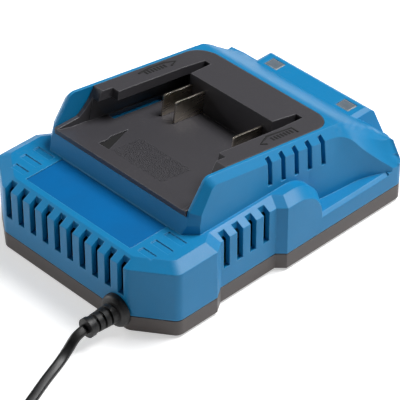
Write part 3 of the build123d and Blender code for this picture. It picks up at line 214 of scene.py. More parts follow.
def build_mould_grain() -> None:
    """Spark-eroded texture of moulded plastic: a fine pebble height and a faint mottling."""
    wiring, entry, leave = new_group(
        Effect.MOULD_GRAIN,
        {"Grain size": 0.0005, "Depth": 1.0},
        [("Height", "NodeSocketFloat"), ("Mottle", "NodeSocketFloat")],
    )
    place = wiring.add("ShaderNodeTexCoord").outputs["Object"]
    frequency = wiring.math("DIVIDE", 1.0, entry.outputs["Grain size"])
    pebbles = wiring.add("ShaderNodeTexVoronoi", Vector=place, Scale=frequency)
    pebbles.feature = "SMOOTH_F1"
    pits = wiring.add("ShaderNodeTexNoise", Vector=place, Scale=frequency, Detail=3.0, Roughness=0.6)
    height = wiring.math("ADD", pebbles.outputs["Distance"], pits.outputs["Fac"])
    wiring.feed(leave, "Height", wiring.math("MULTIPLY", height, entry.outputs["Depth"]))
    cloud = wiring.add("ShaderNodeTexNoise", Vector=place, Scale=38.0, Detail=5.0, Roughness=0.62)
    wiring.feed(leave, "Mottle", wiring.ramp(cloud.outputs["Fac"], 0.3, 0.7))


def build_edge_sheen() -> None:
    """Rounded normals on the edges, and a grainy mask of where the edges are, which the materials use to
    paint a highlight on the edges.
    """
    wiring, entry, leave = new_group(
        Effect.EDGE_SHEEN,
        {"Radius": 0.0005, "Amount": 1.0},
        [("Normal", "NodeSocketVector"), ("Mask", "NodeSocketFloat")],
    )
    soft = wiring.add("ShaderNodeBevel", Radius=entry.outputs["Radius"])
    soft.samples = 8
    wide = wiring.add("ShaderNodeBevel", Radius=wiring.math("MULTIPLY", entry.outputs["Radius"], 1.6))
    wide.samples = 6
    shape = wiring.add("ShaderNodeNewGeometry")
    likeness = wiring.tree.nodes.new("ShaderNodeVectorMath")
    likeness.operation = "DOT_PRODUCT"
    wiring.feed(likeness, 0, wide.outputs["Normal"])
    wiring.feed(likeness, 1, shape.outputs["Normal"])
    mask = wiring.ramp(likeness.outputs["Value"], 0.995, 0.86)
    place = wiring.add("ShaderNodeTexCoord").outputs["Object"]
    # noise breaks the edge mask into the grain of a painted sheen
    sheen_grain = wiring.add("ShaderNodeTexNoise", Vector=place, Scale=420.0, Detail=4.0, Roughness=0.7)
    grainy_sheen = wiring.math("MULTIPLY", mask, wiring.ramp(sheen_grain.outputs["Fac"], 0.35, 0.62, 0.35, 1.0))
    wiring.feed(leave, "Normal", soft.outputs["Normal"])
    wiring.feed(leave, "Mask", wiring.math("MULTIPLY", grainy_sheen, entry.outputs["Amount"]))


def build_dust() -> None:
    """Fine dust that settles on what faces up: a mask."""
    wiring, entry, leave = new_group(Effect.DUST, {"Amount": 0.1}, [("Mask", "NodeSocketFloat")])
    shape = wiring.add("ShaderNodeNewGeometry")
    parts = wiring.add("ShaderNodeSeparateXYZ", Vector=shape.outputs["Normal"])
    facing_up = wiring.ramp(parts.outputs["Z"], 0.35, 0.95)
    place = wiring.add("ShaderNodeTexCoord").outputs["Object"]
    specks = wiring.add("ShaderNodeTexNoise", Vector=place, Scale=900.0, Detail=2.0, Roughness=0.7)
    drifts = wiring.add("ShaderNodeTexNoise", Vector=place, Scale=30.0, Detail=4.0, Roughness=0.6)
    speckle = wiring.ramp(specks.outputs["Fac"], 0.52, 0.72)
    drift = wiring.ramp(drifts.outputs["Fac"], 0.4, 0.7)
    mask = wiring.math("MULTIPLY", wiring.math("MULTIPLY", speckle, drift), facing_up)
    wiring.feed(leave, "Mask", wiring.math("MULTIPLY", mask, entry.outputs["Amount"]))


# -------------------------------------------------------------------------------- node recipes
class Recipe:
    """A Geometry Nodes tree with named inputs: run on a mesh, its result is read back as a mesh."""

    def __init__(self, name: str, inputs: dict[str, str]) -> None:
        """Start the tree.

        Args:
            name: the tree's name.
            inputs: the socket type of each named input, besides the geometry and the material.
        """
        self.tree = bpy.data.node_groups.new(name, "GeometryNodeTree")
        self.wiring = Wiring(self.tree)
        self.identifiers: dict[str, str] = {}
        sockets = {"Geometry": "NodeSocketGeometry", **inputs, "Material": "NodeSocketMaterial"}
        for label, kind in sockets.items():
            made = self.tree.interface.new_socket(name=label, in_out="INPUT", socket_type=kind)
            self.identifiers[label] = made.identifier
        self.tree.interface.new_socket(name="Geometry", in_out="OUTPUT", socket_type="NodeSocketGeometry")
        self.entry = self.tree.nodes.new("NodeGroupInput")
        self.leave = self.tree.nodes.new("NodeGroupOutput")

    def finish(self, shape: bpy.types.NodeSocket) -> None:
        """End the tree: real geometry with the recipe's material on it."""
        real = self.wiring.add("GeometryNodeRealizeInstances", Geometry=shape)
        dressed = self.wiring.add(
            "GeometryNodeSetMaterial", Geometry=real.outputs[0], Material=self.entry.outputs["Material"]
        )
        self.wiring.feed(self.leave, "Geometry", dressed.outputs[0])

    def run(self, mesh: bpy.types.Mesh, **values: object) -> bpy.types.Mesh:
        """Apply the recipe to a mesh.

        Args:
            mesh: what the recipe starts from.
            values: the named inputs, with spaces written as underscores.

        Returns:
            A plain mesh with the result.
        """
        holder = link(bpy.data.objects.new(mesh.name, mesh))
        modifier = holder.modifiers.new(self.tree.name, "NODES")
        modifier.node_group = self.tree
        for label, value in values.items():
            modifier[self.identifiers[label.replace("_", " ")]] = value
        graph = bpy.context.evaluated_depsgraph_get()
        made = bpy.data.meshes.new_from_object(holder.evaluated_get(graph))
        holder.modifiers.remove(modifier)
        bpy.data.objects.remove(holder)
        return made


def stroke_recipe() -> Recipe:
    """Raised strokes that follow the edges of a mesh."""
    recipe = Recipe("Strokes", {"Width": "NodeSocketFloat", "Height": "NodeSocketFloat"})
    wiring = recipe.wiring
    lines = wiring.add("GeometryNodeMeshToCurve", Mesh=recipe.entry.outputs["Geometry"])
    profile = wiring.add(
        "GeometryNodeCurvePrimitiveQuadrilateral",
        Width=recipe.entry.outputs["Width"],
        Height=recipe.entry.outputs["Height"],
    )
    swept = wiring.tree.nodes.new("GeometryNodeCurveToMesh")
    wiring.feed(swept, "Curve", lines.outputs[0])
    wiring.feed(swept, "Profile Curve", profile.outputs[0])
    swept.inputs["Fill Caps"].default_value = True
    recipe.finish(swept.outputs[0])
    return recipe


def bar_recipe() -> Recipe:
    """Small bars, one on each point of a mesh."""
    recipe = Recipe("Bars", {"Size": "NodeSocketVector", "Tilt": "NodeSocketVector"})
    wiring = recipe.wiring
    bar = wiring.add("GeometryNodeMeshCube", Size=recipe.entry.outputs["Size"])
    placed = wiring.add(
        "GeometryNodeInstanceOnPoints",
        Points=recipe.entry.outputs["Geometry"],
        Instance=bar.outputs["Mesh"],
        Rotation=recipe.entry.outputs["Tilt"],
    )
    recipe.finish(placed.outputs[0])
    return recipe


def pebble_recipe() -> Recipe:
    """Small flat pebbles scattered over the faces of a mesh."""
    recipe = Recipe(
        "Pebbles", {"Spacing": "NodeSocketFloat", "Radius": "NodeSocketFloat", "Seed": "NodeSocketInt"}
    )
    wiring = recipe.wiring
    spread = wiring.tree.nodes.new("GeometryNodeDistributePointsOnFaces")
    spread.distribute_method = "POISSON"
    wiring.feed(spread, "Mesh", recipe.entry.outputs["Geometry"])
    wiring.feed(spread, "Distance Min", recipe.entry.outputs["Spacing"])
    spread.inputs["Density Max"].default_value = 6.0e6
    wiring.feed(spread, "Seed", recipe.entry.outputs["Seed"])
    pebble = wiring.add("GeometryNodeMeshIcoSphere", Radius=recipe.entry.outputs["Radius"])
    pebble.inputs["Subdivisions"].default_value = 1
    sizes = wiring.tree.nodes.new("FunctionNodeRandomValue")
    sizes.data_type = "FLOAT_VECTOR"
    sizes.inputs[0].default_value = (0.6, 0.6, 0.3)
    sizes.inputs[1].default_value = (1.3, 1.3, 0.6)
    wiring.feed(sizes, "Seed", recipe.entry.outputs["Seed"])
    placed = wiring.add(
        "GeometryNodeInstanceOnPoints",
        Points=spread.outputs["Points"],
        Instance=pebble.outputs["Mesh"],
        Rotation=spread.outputs["Rotation"],
        Scale=sizes.outputs[0],
    )
    recipe.finish(placed.outputs[0])
    return recipe


# ------------------------------------------------------------------------------------ finishes
class Material:
    """A material under construction: its wiring, its shader and the shared effects in it."""

    def __init__(self, name: str) -> None:
        """Start an empty material of that name."""
        self.data = bpy.data.materials.new(name)
        self.data.use_nodes = True
        self.data.node_tree.nodes.clear()
        self.wiring = Wiring(self.data.node_tree)
        self.shader = self.wiring.add("ShaderNodeBsdfPrincipled")
        out = self.wiring.add("ShaderNodeOutputMaterial")
        self.wiring.feed(out, "Surface", self.shader.outputs[0])

    def effect(self, effect: Effect, **inputs: float) -> bpy.types.Node:
        """Place a shared group in this material with its own values."""
        made = self.wiring.tree.nodes.new("ShaderNodeGroup")
        made.node_tree = bpy.data.node_groups[effect.value]
        for name, value in inputs.items():
            made.inputs[name.replace("_", " ")].default_value = value
        return made

    def set(self, **inputs: object) -> None:
        """Set or link inputs of the Principled shader, spaces written as underscores."""
        for name, value in inputs.items():
            self.wiring.feed(self.shader, name.replace("_", " "), value)


@dataclass(frozen=True)
class MouldedPlastic:
    """Textured injection-moulded plastic with softened, slightly polished edges, lightened in colour as a
    painted highlight.
    """

    name: str
    colour: Colour
    edge_highlight_colour: Colour
    roughness: float = 0.46
    grain: float = 0.00045
    grain_depth: float = 0.00003
    edge_radius: float = 0.0005
    edge_sheen_amount: float = 0.5
    bump_strength: float = 0.6
    polish: float = 0.08
    dust: float = 0.05
    dust_colour: Colour = (0.72, 0.71, 0.69)
    specular: float = 0.5

    def build(self) -> bpy.types.Material:
        """Make the material.

        Returns:
            The new Blender material.
        """
        material = Material(self.name)
        wiring = material.wiring
        grain = material.effect(Effect.MOULD_GRAIN, Grain_size=self.grain)
        edges = material.effect(Effect.EDGE_SHEEN, Radius=self.edge_radius, Amount=self.edge_sheen_amount)
        dust = material.effect(Effect.DUST, Amount=self.dust)
        body = from_srgb(*self.colour)
        deep = from_srgb(*[0.955 * channel for channel in self.colour])
        mottled = wiring.blend(grain.outputs["Mottle"], deep, body)
        # edges blended towards a lighter colour: painted highlight
        edge_lit = wiring.blend(edges.outputs["Mask"], mottled, from_srgb(*self.edge_highlight_colour))
        dusty = wiring.blend(dust.outputs["Mask"], edge_lit, from_srgb(*self.dust_colour))
        rough = wiring.ramp(grain.outputs["Mottle"], 0.0, 1.0, self.roughness + 0.03, self.roughness - 0.03)
        worn = wiring.math("MULTIPLY", edges.outputs["Mask"], self.polish)
        polished = wiring.math("SUBTRACT", rough, worn)
        bump = wiring.add("ShaderNodeBump", Height=grain.outputs["Height"], Normal=edges.outputs["Normal"])
        bump.inputs["Distance"].default_value = self.grain_depth
        bump.inputs["Strength"].default_value = self.bump_strength
        material.set(
            Base_Color=dusty,
            Roughness=polished,
            Normal=bump.outputs["Normal"],
            Specular_IOR_Level=self.specular,
        )
        return material.data


@dataclass(frozen=True)
class SmoothPlastic:
    """Glossy or satin plastic: film and fine mouldings with only a faint, wide texture, and edges lightened
    as a painted highlight.
    """

    name: str
    colour: Colour
    roughness: float = 0.2
    edge_radius: float = 0.0003
    edge_sheen_amount: float = 0.25
    grain: float = 0.002
    grain_depth: float = 0.000012
    bump_strength: float = 0.3

    def build(self) -> bpy.types.Material:
        """Make the material.

        Returns:
            The new Blender material.
        """
        material = Material(self.name)
        wiring = material.wiring
        edges = material.effect(Effect.EDGE_SHEEN, Radius=self.edge_radius, Amount=self.edge_sheen_amount)
        grain = material.effect(Effect.MOULD_GRAIN, Grain_size=self.grain)
        body = from_srgb(*self.colour)
        deep = from_srgb(*[0.93 * channel for channel in self.colour])
        mottled = wiring.blend(grain.outputs["Mottle"], deep, body)
        # a lighter tone for the edges: painted highlight
        light = from_srgb(*[min(1.0, channel + 0.12) for channel in self.colour])
        edge_lit = wiring.blend(edges.outputs["Mask"], mottled, light)
        rough = wiring.ramp(grain.outputs["Mottle"], 0.0, 1.0, self.roughness + 0.04, self.roughness - 0.02)
        bump = wiring.add("ShaderNodeBump", Height=grain.outputs["Height"], Normal=edges.outputs["Normal"])
        bump.inputs["Distance"].default_value = self.grain_depth
        bump.inputs["Strength"].default_value = self.bump_strength
        material.set(Base_Color=edge_lit, Roughness=rough, Normal=bump.outputs["Normal"])
        return material.data


@dataclass(frozen=True)
class SoftRubber:
    """Matte black rubber or soft PVC with fine rubbed marks, and edges lightened to grey as a painted
    highlight.
    """

    name: str
    colour: Colour
    roughness: float = 0.55
    edge_radius: float = 0.0003
    edge_sheen_amount: float = 0.4
    dust: float = 0.12
    dust_colour: Colour = (0.6, 0.59, 0.57)
    rub_depth: float = 0.00004
    bump_strength: float = 0.4

    def build(self) -> bpy.types.Material:
        """Make the material.

        Returns:
            The new Blender material.
        """
        material = Material(self.name)
        wiring = material.wiring
        edges = material.effect(Effect.EDGE_SHEEN, Radius=self.edge_radius, Amount=self.edge_sheen_amount)
        dust = material.effect(Effect.DUST, Amount=self.dust)
        place = wiring.add("ShaderNodeTexCoord").outputs["Object"]
        rubs = wiring.add("ShaderNodeTexNoise", Vector=place, Scale=260.0, Detail=6.0, Roughness=0.65)
        body = from_srgb(*self.colour)
        grey = from_srgb(*[channel + 0.1 for channel in self.colour])
        rubbed = wiring.blend(wiring.ramp(rubs.outputs["Fac"], 0.5, 0.8, 0.0, 0.5), body, grey)
        # edges blended to grey: painted highlight
        edge_lit = wiring.blend(edges.outputs["Mask"], rubbed, grey)
        dusty = wiring.blend(dust.outputs["Mask"], edge_lit, from_srgb(*self.dust_colour))
        rough = wiring.ramp(rubs.outputs["Fac"], 0.3, 0.7, self.roughness - 0.07, self.roughness + 0.07)
        bump = wiring.add("ShaderNodeBump", Height=rubs.outputs["Fac"], Normal=edges.outputs["Normal"])
        bump.inputs["Distance"].default_value = self.rub_depth
        bump.inputs["Strength"].default_value = self.bump_strength
        material.set(Base_Color=dusty, Roughness=rough, Normal=bump.outputs["Normal"])
        return material.data


@dataclass(frozen=True)
class PlatedMetal:
    """Nickel, zinc or aluminium with fine drawn lines, a faint tarnish, and edges painted near-white as a
    highlight.
    """

    name: str
    colour: Colour
    roughness: float = 0.22
    line_scale: float = 2600.0
    line_depth: float = 0.000001
    bump_strength: float = 0.1
    stain: float = 0.6
    edge_highlight_colour: Colour = (0.98, 0.96, 0.92)
    edge_radius: float = 0.0003

    def build(self) -> bpy.types.Material:
        """Make the material.

        Returns:
            The new Blender material.
        """
        material = Material(self.name)
        wiring = material.wiring
        place = wiring.add("ShaderNodeTexCoord").outputs["Object"]
        stretch = wiring.add("ShaderNodeMapping", Vector=place, Scale=(1.0, 0.06, 1.0))
        lines = wiring.add(
            "ShaderNodeTexNoise", Vector=stretch.outputs[0], Scale=self.line_scale, Detail=3.0, Roughness=0.6
        )
        stain = wiring.add("ShaderNodeTexNoise", Vector=place, Scale=160.0, Detail=4.0)
        bright = from_srgb(*self.colour)
        warm = from_srgb(self.colour[0] * 0.9, self.colour[1] * 0.84, self.colour[2] * 0.74)
        tarnish = wiring.ramp(stain.outputs["Fac"], 0.5, 0.75, 0.0, self.stain)
        tarnished = wiring.blend(tarnish, bright, warm)
        rough = wiring.ramp(lines.outputs["Fac"], 0.3, 0.7, self.roughness - 0.02, self.roughness + 0.03)
        edges = material.effect(Effect.EDGE_SHEEN, Radius=self.edge_radius, Amount=1.0)
        # edges blended towards near-white: painted glint
        tone = wiring.blend(edges.outputs["Mask"], tarnished, from_srgb(*self.edge_highlight_colour))
        bump = wiring.add("ShaderNodeBump", Height=lines.outputs["Fac"], Normal=edges.outputs["Normal"])
        bump.inputs["Distance"].default_value = self.line_depth
        bump.inputs["Strength"].default_value = self.bump_strength
        material.set(Base_Color=tone, Metallic=1.0, Roughness=rough, Normal=bump.outputs["Normal"])
        return material.data


@dataclass(frozen=True)
class ClearGuide:
    """Clear moulded light guide with a faint smoky tint and a pale painted highlight on its rim."""

    name: str
    colour: Colour
    roughness: float = 0.12
    rim_highlight_colour: Colour = (0.93, 0.95, 0.97)
    rim_radius: float = 0.0007
    rim_highlight_amount: float = 0.9
    clearness: float = 0.3

    def build(self) -> bpy.types.Material:
        """Make the material.

        Returns:
            The new Blender material.
        """
        material = Material(self.name)
        wiring = material.wiring
        place = wiring.add("ShaderNodeTexCoord").outputs["Object"]
        haze = wiring.add("ShaderNodeTexNoise", Vector=place, Scale=500.0, Detail=4.0)
        body = from_srgb(*self.colour)
        pale = from_srgb(*[min(1.0, channel + 0.08) for channel in self.colour])
        smoky = wiring.blend(haze.outputs["Fac"], body, pale)
        rough = wiring.ramp(haze.outputs["Fac"], 0.3, 0.7, self.roughness, self.roughness + 0.15)
        edges = material.effect(Effect.EDGE_SHEEN, Radius=self.rim_radius, Amount=self.rim_highlight_amount)
        # rim blended towards near-white: painted highlight
        tone = wiring.blend(edges.outputs["Mask"], smoky, from_srgb(*self.rim_highlight_colour))
        material.set(
            Base_Color=tone,
            Roughness=rough,
            Normal=edges.outputs["Normal"],
            Transmission_Weight=self.clearness,
            IOR=1.49,
        )
        return material.data


@dataclass
class Finishes:
    """Every material of the charger, by what it is used for."""

    housing: bpy.types.Material = field(init=False)
    base: bpy.types.Material = field(init=False)
    cradle: bpy.types.Material = field(init=False)
    label: bpy.types.Material = field(init=False)
    contact: bpy.types.Material = field(init=False)
    lamp: bpy.types.Material = field(init=False)
    lead: bpy.types.Material = field(init=False)
    relief: bpy.types.Material = field(init=False)
    plug: bpy.types.Material = field(init=False)
    foot: bpy.types.Material = field(init=False)
    screw: bpy.types.Material = field(init=False)
    marking_shade: bpy.types.Material = field(init=False)
    board: bpy.types.Material = field(init=False)
    black_part: bpy.types.Material = field(init=False)
    amber_part: bpy.types.Material = field(init=False)
    green_part: bpy.types.Material = field(init=False)
    blue_part: bpy.types.Material = field(init=False)
    grey_part: bpy.types.Material = field(init=False)
    aluminium: bpy.types.Material = field(init=False)

    def __post_init__(self) -> None:
        """Build the shared groups, then every material."""
        build_mould_grain()
        build_edge_sheen()
        build_dust()
        # the second colour of each moulded plastic is its painted edge highlight
        self.housing = MouldedPlastic(
            "Housing blue", (0.01, 0.505, 0.725), (0.3, 0.66, 0.86), specular=0.38
        ).build()
        self.base = MouldedPlastic(
            "Base taupe", (0.30, 0.27, 0.26), (0.44, 0.41, 0.40), grain=0.0006
        ).build()
        self.cradle = MouldedPlastic(
            "Cradle charcoal", (0.255, 0.250, 0.266), (0.46, 0.46, 0.48), roughness=0.4, edge_sheen_amount=0.6
        ).build()
        self.label = SmoothPlastic("Label film", (0.0, 0.42, 0.68), roughness=0.3).build()
        self.contact = PlatedMetal(
            "Contact nickel", (0.87, 0.83, 0.77), roughness=0.28, line_scale=1500.0, stain=0.15
        ).build()
        self.lamp = ClearGuide("Lamp guide", (0.43, 0.48, 0.52)).build()
        self.lead = SoftRubber("Lead sheath", (0.055, 0.055, 0.06), roughness=0.42).build()
        self.relief = SoftRubber("Strain relief rubber", (0.05, 0.05, 0.055), roughness=0.5).build()
        self.plug = SmoothPlastic("Plug body", (0.06, 0.06, 0.065), roughness=0.38).build()
        self.foot = SoftRubber("Foot rubber", (0.09, 0.09, 0.09), roughness=0.7).build()
        self.screw = PlatedMetal("Screw zinc", (0.72, 0.73, 0.75), roughness=0.34).build()
        # near-black marking colour: painted shade of the sunk marks
        self.marking_shade = SmoothPlastic("Sunk marking", (0.03, 0.03, 0.035), roughness=0.7).build()
        self.board = SmoothPlastic("Solder mask", (0.10, 0.33, 0.20), roughness=0.3).build()
        self.black_part = SmoothPlastic("Moulded black", (0.11, 0.11, 0.12), roughness=0.4).build()
        self.amber_part = SmoothPlastic("Amber tape", (0.80, 0.62, 0.18), roughness=0.3).build()
        self.green_part = SmoothPlastic("Coated core", (0.18, 0.42, 0.30), roughness=0.45).build()
        self.blue_part = SmoothPlastic("Dipped disc", (0.12, 0.36, 0.66), roughness=0.3).build()
        self.grey_part = SmoothPlastic("Grey ribbon", (0.62, 0.63, 0.65), roughness=0.45).build()
        self.aluminium = PlatedMetal("Extruded aluminium", (0.78, 0.79, 0.80), roughness=0.36).build()


# ------------------------------------------------------------------------------- camera, light
@dataclass
class ViewPoint:
    """The camera: where it stands, where it looks and its lens."""

    place: tuple[float, float, float] = (0.59901, -0.58110, 0.65511)
    direction: tuple[float, float, float] = (-0.56614, 0.54930, -0.61462)
    lens: float = 218.4
    sensor: float = 36.0
    nearest: float = 0.05
    farthest: float = 20.0

    def build(self) -> None:
        """Make the camera and use it for the scene."""
        data = bpy.data.cameras.new("Camera")
        data.lens = self.lens
        data.sensor_width = self.sensor
        data.clip_start = self.nearest
        data.clip_end = self.farthest
        camera = link(bpy.data.objects.new("Camera", data))
        camera.rotation_mode = "QUATERNION"
        camera.location = self.place
        camera.rotation_quaternion = Vector(self.direction).to_track_quat("-Z", "Y")
        bpy.context.scene.camera = camera


@dataclass(frozen=True)
class Softbox:
    """A square area lamp that looks at the charger."""

    name: str
    place: tuple[float, float, float]
    side: float
    watts: float
    aim: tuple[float, float, float] = (0.0, 0.0, 0.02)

    def build(self) -> None:
        """Hang the lamp and turn it to the charger."""
        data = bpy.data.lights.new(self.name, "AREA")
        data.shape = "SQUARE"
        data.size = self.side
        data.energy = self.watts
        lamp = link(bpy.data.objects.new(self.name, data))
        lamp.location = self.place
        lamp.rotation_mode = "QUATERNION"
        lamp.rotation_quaternion = (Vector(self.aim) - Vector(self.place)).to_track_quat("-Z", "Y")


@dataclass
class Studio:
    """A white table top and soft studio lamps."""

    floor_size: float = 6.0
    floor_grey: float = 0.82
    floor_glow: float = 0.5
    world_strength: float = 0.06
    softboxes: tuple[Softbox, ...] = (
        Softbox("Key softbox", (0.36, 0.74, 1.4), 0.8, 31.0),
        Softbox("Left softbox", (-1.55, -0.7, 0.55), 0.9, 14.0),
        Softbox("Right softbox", (1.5, 0.1, 0.55), 0.8, 1.4),
    )

    def build(self) -> None:
        """Make the floor, the lamps and the world, and set plain view settings."""
        self.build_floor()
        for softbox in self.softboxes:
            softbox.build()
        self.build_world()
        bpy.context.scene.view_settings.view_transform = "Standard"

    def build_floor(self) -> None:
        """Make a large white plane that keeps the charger's shadow."""
        half = self.floor_size / 2
        mesh = bpy.data.meshes.new("Floor")
        corners = [(-half, -half, 0), (half, -half, 0), (half, half, 0), (-half, half, 0)]
        mesh.from_pydata(corners, [], [(0, 1, 2, 3)])
        floor = link(bpy.data.objects.new("Floor", mesh))
        material = bpy.data.materials.new("Table white")
        material.use_nodes = True
        wiring = Wiring(material.node_tree)
        wiring.tree.nodes.clear()
        matte = wiring.add("ShaderNodeBsdfDiffuse")
        grey = self.floor_grey
        matte.inputs["Color"].default_value = (grey, grey, grey, 1.0)
        glow = wiring.add("ShaderNodeEmission")
        glow.inputs["Color"].default_value = (1.0, 1.0, 1.0, 1.0)
        path = wiring.add("ShaderNodeLightPath")
        seen = wiring.math("MAXIMUM", path.outputs["Is Camera Ray"], path.outputs["Is Glossy Ray"])
        seen = wiring.math("MAXIMUM", seen, path.outputs["Is Transmission Ray"])
        wiring.feed(glow, "Strength", wiring.math("MULTIPLY", seen, self.floor_glow))
        both = wiring.tree.nodes.new("ShaderNodeAddShader")
        wiring.feed(both, 0, matte.outputs[0])
        wiring.feed(both, 1, glow.outputs[0])
        out = wiring.add("ShaderNodeOutputMaterial")
        wiring.feed(out, "Surface", both.outputs[0])
        mesh.materials.append(material)

    def build_world(self) -> None:
        """Make a soft white surround that the camera sees as plain white."""
        world = bpy.data.worlds.new("Surround")
        bpy.context.scene.world = world
        world.use_nodes = True
        wiring = Wiring(world.node_tree)
        wiring.tree.nodes.clear()
        path = wiring.add("ShaderNodeLightPath")
        seen = wiring.math("MAXIMUM", path.outputs["Is Camera Ray"], path.outputs["Is Transmission Ray"])
        glow = wiring.add("ShaderNodeBackground")
        glow.inputs["Color"].default_value = (1.0, 1.0, 1.0, 1.0)
        wiring.feed(glow, "Strength", wiring.ramp(seen, 0.0, 1.0, self.world_strength, 1.0))
        out = wiring.add("ShaderNodeOutputWorld")
        wiring.feed(out, "Surface", glow.outputs[0])


# ---------------------------------------------------------------------------------- mains lead
@dataclass
class FlatLead:
    """The two-core flat mains lead: loose to the floor, then a tied coil and a flat plug.

    The coil's winding gives each turn's column, from the outside in, and its layer, from the floor
    up. Where a turn climbs it is pushed aside by a share of the pitch, and where the last turn
    crosses another it hops over it.
    """

    finishes: Finishes
    width: float = 4.4 * MM
    thickness: float = 2.5 * MM
    groove: float = 0.5 * MM
    pitch: float = 4.8 * MM
    floor_z: float = 2.0 * MM
    coil_centre: tuple[float, float] = (21.6 * MM, -184.0 * MM)
    turn_radius: float = 26.4 * MM
    turns: float = 8.25
    turn_points: int = 24
    change_share: float = 0.2
    winding: tuple[tuple[int, int], ...] = (
        (0, 0), (1, 0), (2, 0), (2, 1), (1, 1), (0, 1), (1, 2), (0, 2), (0, 2),
    )
    push: tuple[float, float] = (0.5, -0.5)
    crossing: int = 7
    hop: float = 1.6 * MM
    plug_z: float = 6.85 * MM
    plug_tail_x: float = 1.0 * MM
    twist: float = -28.0
    twist_end: float = 0.075
    length: float = 1.5
    route: tuple[tuple[float, float, float], ...] = (
        (33.0 * MM, -96.4 * MM, 9.5 * MM),
        (33.0 * MM, -101.2 * MM, 9.3 * MM),
        (33.2 * MM, -106.3 * MM, 4.6 * MM),
        (34.6 * MM, -112.4 * MM, floor_z),
        (38.0 * MM, -122.0 * MM, floor_z),
        (43.5 * MM, -135.0 * MM, floor_z),
        (49.3 * MM, -149.5 * MM, floor_z),
        (52.8 * MM, -160.5 * MM, floor_z),
        (52.8 * MM, -178.0 * MM, floor_z),
    )

    @property
    def layer_rise(self) -> float:
        """How much higher each layer of the coil lies than the one below it."""
        return (self.plug_z - self.floor_z) / max(layer for _, layer in self.winding)

    def coil_points(self) -> list[tuple[float, float, float]]:
        """Work out the coil's turns: each keeps its column and layer, and changes over at its start.

        Returns:
            The turns' points, from the outer turn at the bottom to the outer turn on top.
        """
        centre_x, centre_y = self.coil_centre
        points = []
        for step in range(1, round(self.turns * self.turn_points)):
            turn = step / self.turn_points
            index = int(turn)
            share = min(1.0, (turn - index) / self.change_share)
            ease = share * share * (3 - 2 * share)
            bulge = math.sin(math.pi * share)
            column, layer = self.winding[index]
            last_column, last_layer = self.winding[max(index - 1, 0)]
            place = last_column + (column - last_column) * ease
            if layer > last_layer:
                place += self.push[last_layer] * bulge
            level = last_layer + (layer - last_layer) * ease
            hop = self.hop * bulge if index == self.crossing else 0.0
            radius = self.turn_radius + (1 - place) * self.pitch
            height = self.floor_z + level * self.layer_rise + hop
            angle = -math.tau * turn
            points.append((centre_x + radius * math.cos(angle), centre_y + radius * math.sin(angle), height))
        return points

    def route_points(self) -> list[tuple[float, float, float]]:
        """All the lead's points, from the strain relief to the plug's tail."""
        outer_y = self.coil_centre[1] - self.turn_radius - self.pitch
        leave = [
            (self.coil_centre[0] - 4 * MM, outer_y, self.plug_z),
            (self.plug_tail_x + 8 * MM, outer_y, self.plug_z),
            (self.plug_tail_x - 1 * MM, outer_y, self.plug_z),
        ]
        return [*self.route, *self.coil_points(), *leave]

    def centreline(self) -> list[Vector]:
        """Read the smooth line back from a NURBS spline through the route's points.

        Returns:
            The line's points, in order.
        """
        route = self.route_points()
        curve = bpy.data.curves.new("Lead line", "CURVE")
        curve.dimensions = "3D"
        curve.resolution_u = 6
        spline = curve.splines.new("NURBS")
        spline.points.add(len(route) - 1)
        for point, place in zip(spline.points, route):
            point.co = (*place, 1.0)
        spline.order_u = 3
        spline.use_endpoint_u = True
        holder = link(bpy.data.objects.new("Lead line", curve))
        graph = bpy.context.evaluated_depsgraph_get()
        line = bpy.data.meshes.new_from_object(holder.evaluated_get(graph))
        points = [vertex.co.copy() for vertex in line.vertices]
        bpy.data.objects.remove(holder)
        bpy.data.curves.remove(curve)
        bpy.data.meshes.remove(line)
        return points

    def section(self, corners: int = 20) -> list[tuple[float, float]]:
        """The lead's cross-section: two round cores side by side with a groove between them."""
        outline = []
        core = (self.width - self.thickness) / 2
        for step in range(corners):
            angle = math.tau * (step + 0.5) / corners
            across, up = math.cos(angle), math.sin(angle)
            side = math.copysign(core, across)
            x = side + self.thickness / 2 * across
            waist = max(0.0, 1.0 - abs(x) / core) * self.groove
            z = math.copysign(max(abs(self.thickness / 2 * up) - waist, 0.0), up)
            outline.append((x, z))
        return outline

    def build_lead(self) -> bpy.types.Object:
        line = self.centreline()
        outline = self.section()
        shape = bmesh.new()
        rings = []
        run = 0.0
        for index, point in enumerate(line):
            before = line[max(index - 1, 0)]
            after = line[min(index + 1, len(line) - 1)]
            run += (point - before).length
            ahead = (after - before).normalized()
            roll = math.radians(self.twist) * max(0.0, 1.0 - run / self.twist_end)
            across = ahead.cross(Vector((0, 0, 1))).normalized()
            across.rotate(Quaternion(ahead, roll))
            up = across.cross(ahead).normalized()
            rings.append([shape.verts.new(point + across * x + up * z) for x, z in outline])
        count = len(outline)
        for first, second in zip(rings, rings[1:]):
            for corner in range(count):
                nearby = (corner + 1) % count
                shape.faces.new((first[corner], first[nearby], second[nearby], second[corner]))
        shape.faces.new(list(reversed(rings[0])))
        shape.faces.new(rings[-1])
        bmesh.ops.recalc_face_normals(shape, faces=shape.faces)
        mesh = bpy.data.meshes.new("flat_lead")
        shape.to_mesh(mesh)
        shape.free()
        mesh.polygons.foreach_set("use_smooth", [True] * len(mesh.polygons))
        lead = mesh_piece("flat_lead", mesh, self.finishes.lead)
        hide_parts("mains_lead", "cord_coil", "lead_end")
        measured = sum((b - a).length for a, b in zip(line, line[1:]))
        log.info("lead measures %.3f m", measured)
        return lead

    def build(self) -> None:
        """Build the lead and dress the pieces on it."""
        self.build_lead()
        set_material(node_object("strain_relief"), self.finishes.relief)
        set_material(node_object("coil_tie"), self.finishes.black_part)
        set_material(node_object("plug_body"), self.finishes.plug)
        set_material(node_object("plug_pins"), self.finishes.contact)
        set_material(node_object("pin_sleeves"), self.finishes.plug)


